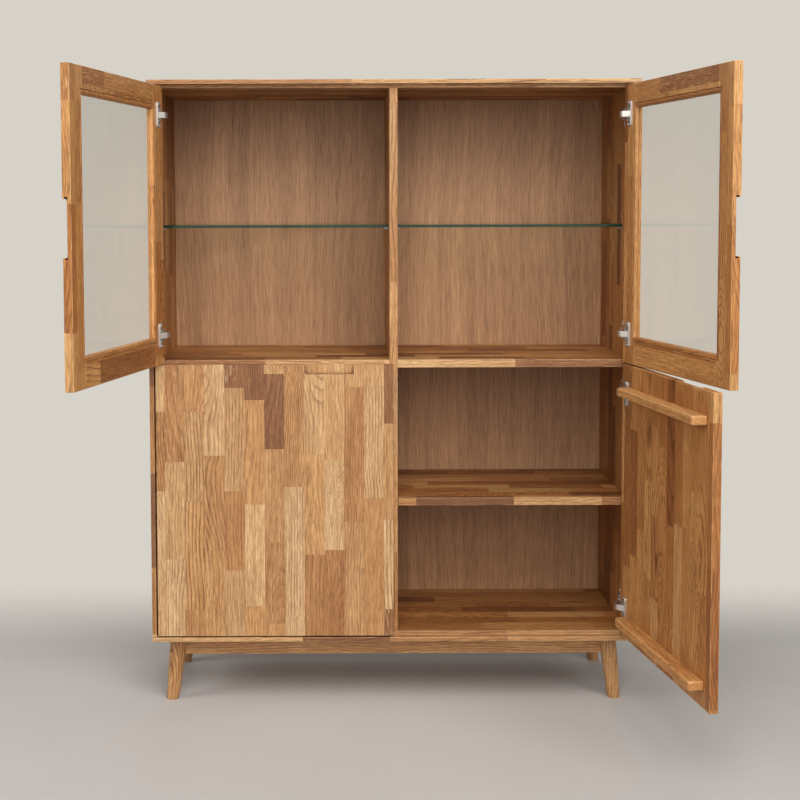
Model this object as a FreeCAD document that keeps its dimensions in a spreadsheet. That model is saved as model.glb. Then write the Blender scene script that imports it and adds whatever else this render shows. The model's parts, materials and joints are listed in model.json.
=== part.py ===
import FreeCAD, Part
import math
import os

import Sketcher
from FreeCAD import Placement, Rotation, Vector

# China cabinet, in millimetres. +X is the cabinet's right, -Y its front, +Z up.
# The origin lies on the floor, under the middle of the carcass.

DIMS = {
    "width": 1100.0,
    "depth": 400.0,
    "height": 1420.0,
    "base_height": 150.0,
    "board": 18.0,
    "lip": 10.0,
    "rebate_depth": 21.0,
    "back_inset": 12.0,
    "back_thickness": 8.0,
    "back_rebate": 9.0,
    "middle_shelf_z": 774.0,
    "lower_shelf_z": 458.0,
    "glass_shelf_z": 1090.0,
    "glass_shelf_thickness": 6.0,
    "glass_shelf_front": 110.0,
    "shelf_clearance": 1.5,
    "shelf_reveal": 2.0,
    "shelf_rear_gap": 3.0,
    "glass_rear_gap": 4.0,
    "panel_slack": 0.25,
    "pane_slack": 0.5,
    "door_thickness": 18.0,
    "door_gap": 4.0,
    "meeting_gap": 3.0,
    "door_split_z": 785.0,
    "stile": 62.0,
    "top_rail": 54.0,
    "bottom_rail": 62.0,
    "glazing_rebate": 10.0,
    "glazing_front": 6.0,
    "pane": 4.0,
    "recess_length": 111.0,
    "recess_reach": 22.0,
    "recess_depth": 10.0,
    "recess_undercut": 4.0,
    "recess_lip": 4.0,
    "recess_corner": 5.5,
    "recess_offset": 88.5,
    "batten_start": 56.0,
    "batten_length": 450.0,
    "batten_projection": 32.0,
    "batten_height": 19.0,
    "batten_top_drop": 56.5,
    "batten_bottom_rise": 46.0,
    "batten_round": 7.0,
    "cup_radius": 17.5,
    "cup_depth": 11.5,
    "cup_centre": 22.5,
    "cup_wall": 1.2,
    "flange_height": 57.0,
    "flange_width": 21.0,
    "flange_sheet": 1.2,
    "hinge_end_distance": 65.0,
    "link_height": 13.0,
    "arm_height": 17.5,
    "arm_sheet": 1.8,
    "apron_height": 48.0,
    "leg_top": 38.0,
    "leg_flat": 18.0,
    "leg_foot_half": 15.0,
    "leg_foot_radius": 14.0,
    "leg_head_radius": 21.5,
    "leg_splay": 15.0,
    "leg_inset_x": 53.0,
    "leg_inset_y": 75.0,
    "peg_radius": 2.5,
    "peg_length": 16.0,
    "glass_peg_inset": 18.0,
    "lower_peg_inset": 45.0,
    "rear_peg_inset": 40.0,
}
D = DIMS

# How far each door stands open in the stored pose, in degrees.
DOORS = {"ul": 101.6, "ur": 100.9, "ll": 0.0, "lr": 97.5}

HALF_W = D["width"] / 2
FRONT = -D["depth"] / 2
BACK = D["depth"] / 2
SET_BACK = FRONT + D["rebate_depth"]
PANEL_FRONT = BACK - D["back_inset"]
INNER_X = HALF_W - D["board"]
HALF_DIVIDER = D["board"] / 2
FLOOR_Z = D["base_height"] + D["board"]
CEILING_Z = D["height"] - D["board"]
DOOR_EDGE_X = HALF_W - D["lip"] - D["door_gap"]
DOOR_WIDTH = DOOR_EDGE_X - D["meeting_gap"] / 2
UPPER_BOTTOM = D["door_split_z"] + D["meeting_gap"] / 2
UPPER_TOP = D["height"] - D["lip"] - D["door_gap"]
LOWER_BOTTOM = D["base_height"] + D["lip"] + D["door_gap"]
LOWER_TOP = D["door_split_z"] - D["meeting_gap"] / 2

# Pivots of a door and of its hinge links, measured from the closed door's outer front corner.
DOOR_PIVOT = (6.0, 4.0)
LINK_PIVOT = (9.0, 24.0)
LINK_BEND = (54.0, 18.0)
LINK_TIP = (11.0, -18.0)
LINK_BEND_RADIUS = 16.0
LINK_RATIO = 0.83
LINK_DRAWN_AT = 100.0
LINK_HALF_WIDTH = 2.0
LINK_EYE_RADIUS = 3.8

# Radius and height of the screw heads, and of the holes that the batten screws sit in.
HINGE_SCREW = (3.6, 1.5)
BATTEN_SCREW = (2.4, 2.0)
BATTEN_SCREW_HOLE = (2.8, 6.0)
BATTEN_SCREW_PLACES = (0.12, 0.5, 0.88)
HINGE_PIN_RADIUS = 2.0

# Small turned pieces and the holes they sit in are many-sided; a hole clears its piece on any turn.
SMALL_SIDES = 10
HOLE_PLAY = 0.2
RUNNING = 0.08
SEATING = 0.05
CUT_OVERRUN = 1.0

doc = FreeCAD.newDocument("cabinet")
sheet = doc.addObject("Spreadsheet::Sheet", "dims")
for row, (alias, value) in enumerate(DIMS.items(), start=1):
    sheet.set(f"A{row}", alias)
    sheet.set(f"B{row}", str(value))
    sheet.setAlias(f"B{row}", alias)
doc.recompute()

nodes = []


# Building blocks


def new_body(label, placement=Placement()):
    body = doc.addObject("PartDesign::Body", label)
    body.Label = label
    body.Placement = placement
    return body


def new_sketch(body, role="XY_Plane", offset=0.0):
    sketch = body.newObject("Sketcher::SketchObject", "outline")
    plane = next(f for f in body.Origin.OriginFeatures if f.Role == role)
    sketch.AttachmentSupport = [(plane, "")]
    sketch.MapMode = "FlatFace"
    sketch.AttachmentOffset = Placement(Vector(0, 0, offset), Rotation())
    return sketch


def closed_lines(sketch, points):
    """Joins the points with straight lines into one closed loop."""
    corners = [Vector(x, y, 0) for x, y in points]
    first = sketch.GeometryCount
    count = len(corners)
    for k in range(count):
        sketch.addGeometry(Part.LineSegment(corners[k], corners[(k + 1) % count]))
    for k in range(count):
        sketch.addConstraint(
            Sketcher.Constraint("Coincident", first + k, 2, first + (k + 1) % count, 1)
        )
    return first


def rounded_loop(sketch, corners):
    """Joins corners (x, y, radius) in order with lines, and with a tangent arc at each radius."""
    spots = [Vector(x, y, 0) for x, y, _ in corners]
    arrive, leave = [], []
    for k, (_, _, radius) in enumerate(corners):
        back = (spots[k - 1] - spots[k]).normalize()
        ahead = (spots[(k + 1) % len(spots)] - spots[k]).normalize()
        half_angle = back.getAngle(ahead) / 2
        arrive.append(spots[k] + back * (radius / math.tan(half_angle)))
        leave.append(spots[k] + ahead * (radius / math.tan(half_angle)))
        if radius:
            inwards = (back + ahead).normalize()
            crown = spots[k] + inwards * (radius / math.sin(half_angle) - radius)
            sketch.addGeometry(Part.ArcOfCircle(arrive[k], crown, leave[k]))
    for k, start in enumerate(leave):
        sketch.addGeometry(Part.LineSegment(start, arrive[(k + 1) % len(arrive)]))


def anchor(sketch, line, x, y):
    """Holds a line's start point at the given place, measured from the sketch's origin."""
    for kind, axis, value in (("DistanceX", -2, x), ("DistanceY", -1, y)):
        if abs(value) < 1e-9:
            sketch.addConstraint(Sketcher.Constraint("PointOnObject", line, 1, axis))
        elif value > 0:
            sketch.addConstraint(Sketcher.Constraint(kind, -1, 1, line, 1, value))
        else:
            sketch.addConstraint(Sketcher.Constraint(kind, line, 1, -1, 1, -value))


def rectangle(sketch, start, size):
    """A rectangle from its low corner. Each size is a number or an expression on the sheet."""
    x, y = start
    guess = [s if isinstance(s, float) else 40.0 for s in size]
    first = closed_lines(
        sketch,
        [(x, y), (x + guess[0], y), (x + guess[0], y + guess[1]), (x, y + guess[1])],
    )
    for line, kind in enumerate(("Horizontal", "Vertical", "Horizontal", "Vertical")):
        sketch.addConstraint(Sketcher.Constraint(kind, first + line))
    anchor(sketch, first, x, y)
    sides = (("DistanceX", first), ("DistanceY", first + 1))
    for (kind, line), amount, start_value in zip(sides, size, guess):
        index = sketch.addConstraint(Sketcher.Constraint(kind, line, 1, line, 2, start_value))
        if isinstance(amount, str):
            sketch.setExpression(f"Constraints[{index}]", amount)


def circles(sketch, centres, radius):
    """Circles of one radius, which is an expression on the sheet or a number."""
    for x, y in centres:
        guess = radius if isinstance(radius, float) else 5.0
        item = sketch.addGeometry(Part.Circle(Vector(x, y, 0), Vector(0, 0, 1), guess))
        index = sketch.addConstraint(Sketcher.Constraint("Radius", item, guess))
        if isinstance(radius, str):
            sketch.setExpression(f"Constraints[{index}]", radius)


def many_sided(centre, radius, sides):
    """Corners of a regular polygon round a centre."""
    turns = [2 * math.pi * k / sides for k in range(sides)]
    return [(centre[0] + radius * math.cos(t), centre[1] + radius * math.sin(t)) for t in turns]


def extrude(body, kind, sketch, length, reverse=False):
    """A pad or a pocket of the sketch; length is a number or an expression on the sheet."""
    feature = body.newObject(f"PartDesign::{kind}", kind.lower())
    feature.Profile = sketch
    feature.Type = 0
    feature.Reversed = reverse
    feature.Length = length if isinstance(length, float) else 20.0
    if isinstance(length, str):
        feature.setExpression("Length", length)
    sketch.Visibility = False
    body.Tip = feature
    return feature


def slab(label, start, size, placement=Placement(), keep=True):
    """A board from its low corner, with its size along X, Y and Z."""
    body = new_body(label, placement)
    sketch = new_sketch(body, "XY_Plane", start[2])
    rectangle(sketch, start[:2], size[:2])
    extrude(body, "Pad", sketch, size[2])
    if keep:
        nodes.append(body)
    return body


def trim(body, start, size):
    """Cuts a box out of a body."""
    sketch = new_sketch(body, "XY_Plane", start[2])
    rectangle(sketch, start[:2], size[:2])
    extrude(body, "Pocket", sketch, size[2], reverse=True)


def drill(body, role, offset, centres, radius, depth, reverse):
    """Round holes from a plane into a body."""
    sketch = new_sketch(body, role, offset)
    circles(sketch, centres, radius)
    extrude(body, "Pocket", sketch, depth, reverse)


def peg_holes(body, role, offset, centres, radius, depth, reverse):
    """Small many-sided holes from a plane into a body."""
    sketch = new_sketch(body, role, offset)
    for centre in centres:
        closed_lines(sketch, many_sided(centre, radius, SMALL_SIDES))
    extrude(body, "Pocket", sketch, depth, reverse)


def small_rod(name, radius, length, base, axis, place=Placement()):
    """A small many-sided rod, from a base point along an axis of a placed piece."""
    item = doc.addObject("Part::Prism", name)
    item.Polygon = SMALL_SIDES
    for quantity, amount in (("Circumradius", radius), ("Height", length)):
        if isinstance(amount, str):
            item.setExpression(quantity, amount)
        else:
            setattr(item, quantity, amount)
    item.Placement = place.multiply(Placement(base, Rotation(Vector(0, 0, 1), axis)))
    return item


def group(label, items):
    """One node made of several like solids."""
    compound = doc.addObject("Part::Compound", label)
    compound.Label = label
    compound.Links = items
    nodes.append(compound)
    return compound


# Carcass

INNER_DEPTH = "dims.depth - dims.rebate_depth - dims.back_inset"
INNER_HEIGHT = "dims.height - dims.base_height - 2 * dims.board"

top = slab(
    "top_board", (-HALF_W, FRONT, CEILING_Z), ("dims.width", "dims.depth", "dims.board")
)
bottom = slab(
    "bottom_board",
    (-HALF_W, FRONT, D["base_height"]),
    ("dims.width", "dims.depth", "dims.board"),
)
for board, front_z, rear_z in (
    (top, CEILING_Z, CEILING_Z),
    (bottom, D["base_height"] + D["lip"], FLOOR_Z - D["back_rebate"]),
):
    trim(
        board,
        (-HALF_W + D["lip"], FRONT, front_z),
        ("dims.width - 2 * dims.lip", "dims.rebate_depth", "dims.board - dims.lip"),
    )
    trim(
        board,
        (-HALF_W + D["back_rebate"], PANEL_FRONT, rear_z),
        ("dims.width - 2 * dims.back_rebate", "dims.back_inset", "dims.back_rebate"),
    )

# Peg places in the side boards: front and rear pegs of the glass shelf and of the lower shelf.
GLASS_FRONT = FRONT + D["glass_shelf_front"]
PEG_PLACES = [
    (y, z - D["peg_radius"])
    for z, front in (
        (D["glass_shelf_z"], GLASS_FRONT + D["glass_peg_inset"]),
        (D["lower_shelf_z"], SET_BACK + D["lower_peg_inset"]),
    )
    for y in (front, PANEL_FRONT - D["rear_peg_inset"])
]
PEG_HOLE = D["peg_radius"] + HOLE_PLAY
PEG_DEPTH = f"dims.peg_length / 2 + {HOLE_PLAY}"

for name, s in (("left_side", -1), ("right_side", 1)):
    side = slab(
        name,
        (min(s * HALF_W, s * INNER_X), FRONT, FLOOR_Z),
        ("dims.board", "dims.depth", INNER_HEIGHT),
    )
    step_x = min(s * INNER_X, s * (HALF_W - D["lip"]))
    trim(
        side,
        (step_x, FRONT, FLOOR_Z),
        ("dims.board - dims.lip", "dims.rebate_depth", INNER_HEIGHT),
    )
    rear_x = min(s * INNER_X, s * (HALF_W - D["back_rebate"]))
    trim(
        side,
        (rear_x, PANEL_FRONT, FLOOR_Z),
        ("dims.back_rebate", "dims.back_inset", INNER_HEIGHT),
    )
    peg_holes(side, "YZ_Plane", s * INNER_X, PEG_PLACES, PEG_HOLE, PEG_DEPTH, s > 0)

divider = slab(
    "centre_divider",
    (-HALF_DIVIDER, SET_BACK, FLOOR_Z),
    ("dims.board", INNER_DEPTH, INNER_HEIGHT),
)
peg_holes(divider, "YZ_Plane", -HALF_DIVIDER, PEG_PLACES, PEG_HOLE, PEG_DEPTH, True)
peg_holes(divider, "YZ_Plane", HALF_DIVIDER, PEG_PLACES, PEG_HOLE, PEG_DEPTH, False)

BAY = "dims.width / 2 - 1.5 * dims.board"
LOOSE = f"{BAY} - 2 * dims.shelf_clearance"
LOOSE_DEPTH = f"{INNER_DEPTH} - dims.shelf_reveal - dims.shelf_rear_gap"
GLASS_DEPTH = "dims.depth - dims.glass_shelf_front - dims.back_inset - dims.glass_rear_gap"
CLEAR = D["shelf_clearance"]
SLACK = D["panel_slack"]
pegs = []
for name, s in (("left", -1), ("right", 1)):
    bay_x = HALF_DIVIDER if s > 0 else -INNER_X
    slab(
        f"middle_shelf_{name}",
        (bay_x, SET_BACK, D["middle_shelf_z"]),
        (BAY, INNER_DEPTH, "dims.board"),
    )
    slab(
        f"lower_shelf_{name}",
        (bay_x + CLEAR, SET_BACK + D["shelf_reveal"], D["lower_shelf_z"]),
        (LOOSE, LOOSE_DEPTH, "dims.board"),
    )
    slab(
        f"glass_shelf_{name}",
        (bay_x + CLEAR, GLASS_FRONT, D["glass_shelf_z"]),
        (LOOSE, GLASS_DEPTH, "dims.glass_shelf_thickness"),
    )
    panel_x = SLACK if s > 0 else -HALF_W + D["back_rebate"] + SLACK
    slab(
        f"back_panel_{name}",
        (panel_x, PANEL_FRONT, FLOOR_Z - D["back_rebate"] + SLACK),
        (
            "dims.width / 2 - dims.back_rebate - 2 * dims.panel_slack",
            "dims.back_thickness",
            f"{INNER_HEIGHT} + 2 * dims.back_rebate - 2 * dims.panel_slack",
        ),
    )
    for wall_x, inwards in ((s * INNER_X, -s), (s * HALF_DIVIDER, s)):
        for y, z in PEG_PLACES:
            start = Vector(wall_x - inwards * D["peg_length"] / 2, y, z)
            out = Vector(inwards, 0, 0)
            pegs.append(small_rod("peg", "dims.peg_radius", "dims.peg_length", start, out))
group("shelf_pegs", pegs)

# Base: four splayed legs and four aprons between them

LEG_X = HALF_W - D["leg_inset_x"]
LEG_Y = BACK - D["leg_inset_y"]
HALF_TOP = D["leg_top"] / 2
HALF_FLAT = D["leg_flat"] / 2
LEG_AXIS = math.hypot(D["base_height"], D["leg_splay"], D["leg_splay"])
LEG_TILT = math.degrees(math.acos(D["base_height"] / LEG_AXIS))
LEG_SPARE = 8.0
LEG_SIDES = 24
LEG_TAPER = (HALF_TOP - D["leg_foot_half"]) / LEG_AXIS
LEG_TURNING = (D["leg_head_radius"] - D["leg_foot_radius"]) / LEG_AXIS


def squared_section():
    """A leg's square section with its corners cut off, where the taper starts."""
    half = D["leg_foot_half"] - LEG_TAPER * LEG_SPARE
    flat = HALF_FLAT * half / HALF_TOP
    corners = []
    for x, y in ((1, 0), (0, 1), (-1, 0), (0, -1)):
        corners.append((half * x + flat * y, half * y - flat * x))
        corners.append((half * x - flat * y, half * y + flat * x))
    return corners


def turned_section():
    """A leg's turned section where the taper starts, many-sided like the small turned pieces."""
    return many_sided((0.0, 0.0), D["leg_foot_radius"] - LEG_TURNING * LEG_SPARE, LEG_SIDES)


def leg_taper(label, lean, section, growth):
    """A prism on the section along a leg's axis, run past both ends, its sides drafted outwards."""
    body = new_body(label, lean)
    sketch = new_sketch(body, "XY_Plane", -LEG_SPARE)
    closed_lines(sketch, section)
    prism = extrude(body, "Pad", sketch, LEG_AXIS + 2 * LEG_SPARE)
    doc.recompute()
    rises = {f"Face{k}": f.normalAt(0, 0).z for k, f in enumerate(prism.Shape.Faces, start=1)}
    taper = body.newObject("PartDesign::Draft", "taper")
    taper.Base = (prism, [face for face, rise in rises.items() if abs(rise) < 0.5])
    taper.NeutralPlane = (prism, [face for face, rise in rises.items() if rise < -0.5])
    taper.Angle = math.degrees(math.atan(growth))
    taper.Reversed = True
    body.Tip = taper
    return body


def leg(label, sx, sy):
    """Square stock with cut corners, turned round towards its foot, splayed and cut off level."""
    foot = Vector(sx * (LEG_X + D["leg_splay"]), sy * (LEG_Y + D["leg_splay"]), 0)
    lean = Placement(foot, Rotation(Vector(sy, -sx, 0), LEG_TILT))
    squared = leg_taper(f"{label}_squared", lean, squared_section(), LEG_TAPER)
    turned = leg_taper(f"{label}_turned", lean, turned_section(), LEG_TURNING)
    level = doc.addObject("Part::Box", f"{label}_level")
    level.setExpression("Height", "dims.base_height")
    level.setExpression("Length", "4 * dims.leg_top")
    level.setExpression("Width", "4 * dims.leg_top")
    level.Placement.Base = foot - Vector(2 * D["leg_top"], 2 * D["leg_top"], 0)
    shape = doc.addObject("Part::MultiCommon", label)
    shape.Label = label
    shape.Shapes = [squared, turned, level]
    nodes.append(shape)


for label, sx, sy in (
    ("leg_front_left", -1, -1),
    ("leg_front_right", 1, -1),
    ("leg_rear_left", -1, 1),
    ("leg_rear_right", 1, 1),
):
    leg(label, sx, sy)

# An apron's ends slope with the legs' inner faces, a hair away from them.
APRON_DROP = D["apron_height"] / D["base_height"]
APRON_SPREAD = APRON_DROP * (D["leg_splay"] + HALF_TOP - D["leg_foot_half"])
APRON_HAIR = 0.4
APRON_LOW_Z = D["base_height"] - D["apron_height"]


def apron(label, role, reach, across):
    """A board between two legs, drawn on the upright plane along its length."""
    body = new_body(label)
    half = reach - HALF_TOP - APRON_HAIR
    offset = -(across + HALF_FLAT) if role == "XZ_Plane" else across - HALF_FLAT
    sketch = new_sketch(body, role, offset)
    low = half + APRON_SPREAD
    closed_lines(
        sketch,
        [
            (-low, APRON_LOW_Z),
            (low, APRON_LOW_Z),
            (half, D["base_height"]),
            (-half, D["base_height"]),
        ],
    )
    extrude(body, "Pad", sketch, "dims.leg_flat")
    nodes.append(body)


apron("front_apron", "XZ_Plane", LEG_X, -LEG_Y)
apron("rear_apron", "XZ_Plane", LEG_X, LEG_Y)
apron("left_apron", "YZ_Plane", LEG_Y, -LEG_X)
apron("right_apron", "YZ_Plane", LEG_Y, LEG_X)

# Doors. A door piece is drawn with x from the hinge edge, y from the front face and z up,
# then placed at the hinge corner and swung open about the door pivot.


def swing(s, angle, pivot):
    """Turns a piece about an upright line near the hinge corner, opening for a positive angle."""
    corner = Vector(-s * DOOR_EDGE_X, FRONT, 0)
    centre = Vector(s * pivot[0], pivot[1], 0)
    turn = Placement(Vector(0, 0, 0), Rotation(Vector(0, 0, 1), -s * angle), centre)
    return Placement(corner, Rotation()).multiply(turn)


def along(s, u, width):
    """Low x of a stretch that starts u from the hinge edge, on either hand."""
    return u if s > 0 else -u - width


RECESS_OVERRUN = 2.0


def recess_loop(sketch, low, high, open_side, grow):
    """The recess's outline, grown on its closed sides and run out past the open one."""
    x0, y0 = low[0] - grow, low[1] - grow
    x1, y1 = high[0] + grow, high[1] + grow
    if open_side == "right":
        x1 = high[0] + RECESS_OVERRUN
    elif open_side == "left":
        x0 = low[0] - RECESS_OVERRUN
    else:
        y1 = high[1] + RECESS_OVERRUN
    corners = []
    for x, y in ((x0, y0), (x1, y0), (x1, y1), (x0, y1)):
        sharp = {"right": x == x1, "left": x == x0, "top": y == y1}[open_side]
        corners.append((x, y, 0.0 if sharp else D["recess_corner"] + grow))
    rounded_loop(sketch, corners)


def finger_recess(body, low, high, open_side):
    """A shallow finger pull in the front face, undercut behind its rim on the closed sides."""
    mouth = new_sketch(body, "XZ_Plane", 0.0)
    recess_loop(mouth, low, high, open_side, 0.0)
    extrude(body, "Pocket", mouth, f"dims.recess_lip + {CUT_OVERRUN}")
    behind = new_sketch(body, "XZ_Plane", -D["recess_lip"])
    recess_loop(behind, low, high, open_side, D["recess_undercut"])
    extrude(body, "Pocket", behind, "dims.recess_depth - dims.recess_lip")


def cup_seats(body, s, heights):
    """Round seats for the hinge cups in a door's inner face."""
    centres = [(s * D["cup_centre"], z) for z in heights]
    drill(
        body, "XZ_Plane", -D["door_thickness"], centres, "dims.cup_radius", "dims.cup_depth", True
    )


def glazed_door(tag, s, angle):
    """Stiles, rails, pane and glazing beads of an upper door."""
    place = swing(s, angle, DOOR_PIVOT)
    z0, z1 = UPPER_BOTTOM, UPPER_TOP
    height = "dims.height - dims.lip - dims.door_gap - dims.door_split_z - dims.meeting_gap / 2"
    run = "dims.width / 2 - dims.lip - dims.door_gap - dims.meeting_gap / 2 - 2 * dims.stile"
    thick = "dims.door_thickness"
    heights = (z0 + D["hinge_end_distance"], z1 - D["hinge_end_distance"])
    edge = D["glazing_rebate"]
    sight_z0 = z0 + D["bottom_rail"] - edge
    sight_z1 = z1 - D["top_rail"] + edge
    free_u = DOOR_WIDTH - D["stile"]
    rebate_y = D["glazing_front"]
    rebate_depth = "dims.door_thickness - dims.glazing_front"
    sight_height = f"{height} - dims.bottom_rail - dims.top_rail + 2 * dims.glazing_rebate"

    hinge_stile = slab(
        f"{tag}_hinge_stile",
        (along(s, 0, D["stile"]), 0.0, z0),
        ("dims.stile", thick, height),
        place,
    )
    free_stile = slab(
        f"{tag}_free_stile",
        (along(s, free_u, D["stile"]), 0.0, z0),
        ("dims.stile", thick, height),
        place,
    )
    for stile, u in ((hinge_stile, D["stile"] - edge), (free_stile, free_u)):
        trim(
            stile,
            (along(s, u, edge), rebate_y, sight_z0),
            ("dims.glazing_rebate", rebate_depth, sight_height),
        )
    cup_seats(hinge_stile, s, heights)
    middle = (z0 + z1) / 2
    far = s * DOOR_WIDTH
    near = s * (DOOR_WIDTH - D["recess_reach"])
    finger_recess(
        free_stile,
        (min(far, near), middle - D["recess_length"] / 2),
        (max(far, near), middle + D["recess_length"] / 2),
        "right" if s > 0 else "left",
    )
    rail_width = DOOR_WIDTH - 2 * D["stile"]
    for name, low, size, cut in (
        ("top_rail", z1 - D["top_rail"], "dims.top_rail", z1 - D["top_rail"]),
        ("bottom_rail", z0, "dims.bottom_rail", sight_z0),
    ):
        rail = slab(
            f"{tag}_{name}",
            (along(s, D["stile"], rail_width), 0.0, low),
            (run, thick, size),
            place,
        )
        trim(
            rail,
            (along(s, D["stile"], rail_width), rebate_y, cut),
            (run, rebate_depth, "dims.glazing_rebate"),
        )
    sight_u = D["stile"] - edge
    sight_width = rail_width + 2 * edge
    slack = D["pane_slack"]
    slab(
        f"{tag}_pane",
        (along(s, sight_u + slack, sight_width - 2 * slack), rebate_y, sight_z0 + slack),
        (
            f"{run} + 2 * dims.glazing_rebate - 2 * dims.pane_slack",
            "dims.pane",
            f"{sight_height} - 2 * dims.pane_slack",
        ),
        place,
    )
    bead_y = rebate_y + D["pane"]
    bead_depth = "dims.door_thickness - dims.glazing_front - dims.pane"
    level = [
        slab(
            f"{tag}_level_bead",
            (along(s, sight_u, sight_width), bead_y, z),
            (f"{run} + 2 * dims.glazing_rebate", bead_depth, "dims.glazing_rebate"),
            place,
            keep=False,
        )
        for z in (sight_z0, sight_z1 - edge)
    ]
    upright = [
        slab(
            f"{tag}_upright_bead",
            (along(s, u, edge), bead_y, sight_z0 + edge),
            ("dims.glazing_rebate", bead_depth, f"{sight_height} - 2 * dims.glazing_rebate"),
            place,
            keep=False,
        )
        for u in (sight_u, sight_u + sight_width - edge)
    ]
    group(f"{tag}_level_beads", level)
    group(f"{tag}_upright_beads", upright)
    return heights


def batten(label, s, z, place):
    """A stiffening bar across a panel door, rounded at its ends and screwed through."""
    body = new_body(label, place)
    u0 = D["batten_start"]
    start = (along(s, u0, D["batten_length"]), D["door_thickness"])
    sketch = new_sketch(body, "XY_Plane", z - D["batten_height"] / 2)
    rectangle(sketch, start, ("dims.batten_length", "dims.batten_projection"))
    pad = extrude(body, "Pad", sketch, "dims.batten_height")
    doc.recompute()
    proud = D["door_thickness"] + D["batten_projection"]
    ends = [
        f"Edge{k}"
        for k, e in enumerate(pad.Shape.Edges, start=1)
        if abs(e.BoundBox.YMin - e.BoundBox.YMax) < 1e-6
        and abs(e.BoundBox.YMax - proud) < 1e-6
        and e.BoundBox.ZLength > 1
    ]
    rounding = body.newObject("PartDesign::Fillet", "rounded_ends")
    rounding.Base = (pad, ends)
    rounding.Radius = D["batten_round"]
    rounding.setExpression("Radius", "dims.batten_round")
    body.Tip = rounding
    centres = [(s * (u0 + f * D["batten_length"]), z) for f in BATTEN_SCREW_PLACES]
    peg_holes(body, "XZ_Plane", -proud, centres, *BATTEN_SCREW_HOLE, True)
    nodes.append(body)
    return centres


def panel_door(tag, s, angle):
    """Panel, battens and batten screws of a lower door."""
    place = swing(s, angle, DOOR_PIVOT)
    z0, z1 = LOWER_BOTTOM, LOWER_TOP
    heights = (z0 + D["hinge_end_distance"], z1 - D["hinge_end_distance"])
    panel = slab(
        f"{tag}_panel",
        (along(s, 0, DOOR_WIDTH), 0.0, z0),
        (
            "dims.width / 2 - dims.lip - dims.door_gap - dims.meeting_gap / 2",
            "dims.door_thickness",
            "dims.door_split_z - dims.meeting_gap / 2 - dims.base_height - dims.lip - dims.door_gap",
        ),
        place,
    )
    cup_seats(panel, s, heights)
    far = s * (DOOR_WIDTH - D["recess_offset"])
    near = s * (DOOR_WIDTH - D["recess_offset"] - D["recess_length"])
    finger_recess(
        panel, (min(far, near), z1 - D["recess_reach"]), (max(far, near), z1), "top"
    )
    centres = batten(f"{tag}_upper_batten", s, z1 - D["batten_top_drop"], place)
    centres += batten(f"{tag}_lower_batten", s, z0 + D["batten_bottom_rise"], place)
    hole_floor = D["door_thickness"] + D["batten_projection"] - BATTEN_SCREW_HOLE[1]
    inwards = Vector(0, 1, 0)
    screws = [
        small_rod("screw", *BATTEN_SCREW, Vector(x, hole_floor, z), inwards, place)
        for x, z in centres
    ]
    group(f"{tag}_batten_screws", screws)
    return heights


# Concealed hinges: cup and flange on the door, plate and arm on the side, link between them

FLANGE_CORNER = 6.0
FLANGE_SCREW_RISE = 24.0
WING_SHEET = 2.5
WING_GAP = 3.0
WING_DEPTH = 15.0
WING_SPAN = 48.0
WING_SCREW_RISE = 16.0
RIB_GAP = 3.0
RIB_LENGTH = 40.0
ARM_HALF = 4.0
ARM_WEB = 1.8
ARM_NOSE = 2.6
ARM_FRONT = LINK_PIVOT[1] - ARM_HALF
ARM_REAR = 76.0
FORK_END = 52.0
WALL_U = DOOR_EDGE_X - INNER_X


def hinge_cup(tag, s, z, place):
    """A cup let into the door, with a screwed flange that lies on the door's inner face."""
    body = new_body(f"{tag}_cup", place)
    face = -D["door_thickness"]
    x = s * D["cup_centre"]
    half_w = D["flange_width"] / 2
    half_h = D["flange_height"] / 2
    flange = new_sketch(body, "XZ_Plane", face)
    corners = []
    for i, j in ((-1, -1), (1, -1), (1, 1), (-1, 1)):
        beside = (x + i * (half_w - FLANGE_CORNER), z + j * half_h)
        above = (x + i * half_w, z + j * (half_h - FLANGE_CORNER))
        corners += [above, beside] if i == j else [beside, above]
    closed_lines(flange, corners)
    extrude(body, "Pad", flange, "dims.flange_sheet", reverse=True)
    shell = new_sketch(body, "XZ_Plane", face)
    circles(shell, [(x, z)], f"dims.cup_radius - {SEATING}")
    extrude(body, "Pad", shell, f"dims.cup_depth - {SEATING}")
    top_face = face - D["flange_sheet"]
    drill(
        body,
        "XZ_Plane",
        top_face,
        [(x, z)],
        "dims.cup_radius - dims.cup_wall",
        "dims.cup_depth + dims.flange_sheet - dims.cup_wall",
        True,
    )
    return body


def flange_screws(s, z, place):
    """The two screws of a cup's flange."""
    face = D["door_thickness"] + D["flange_sheet"]
    inwards = Vector(0, 1, 0)
    return [
        small_rod("screw", *HINGE_SCREW, Vector(s * D["cup_centre"], face, z + rise), inwards, place)
        for rise in (-FLANGE_SCREW_RISE, FLANGE_SCREW_RISE)
    ]


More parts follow.
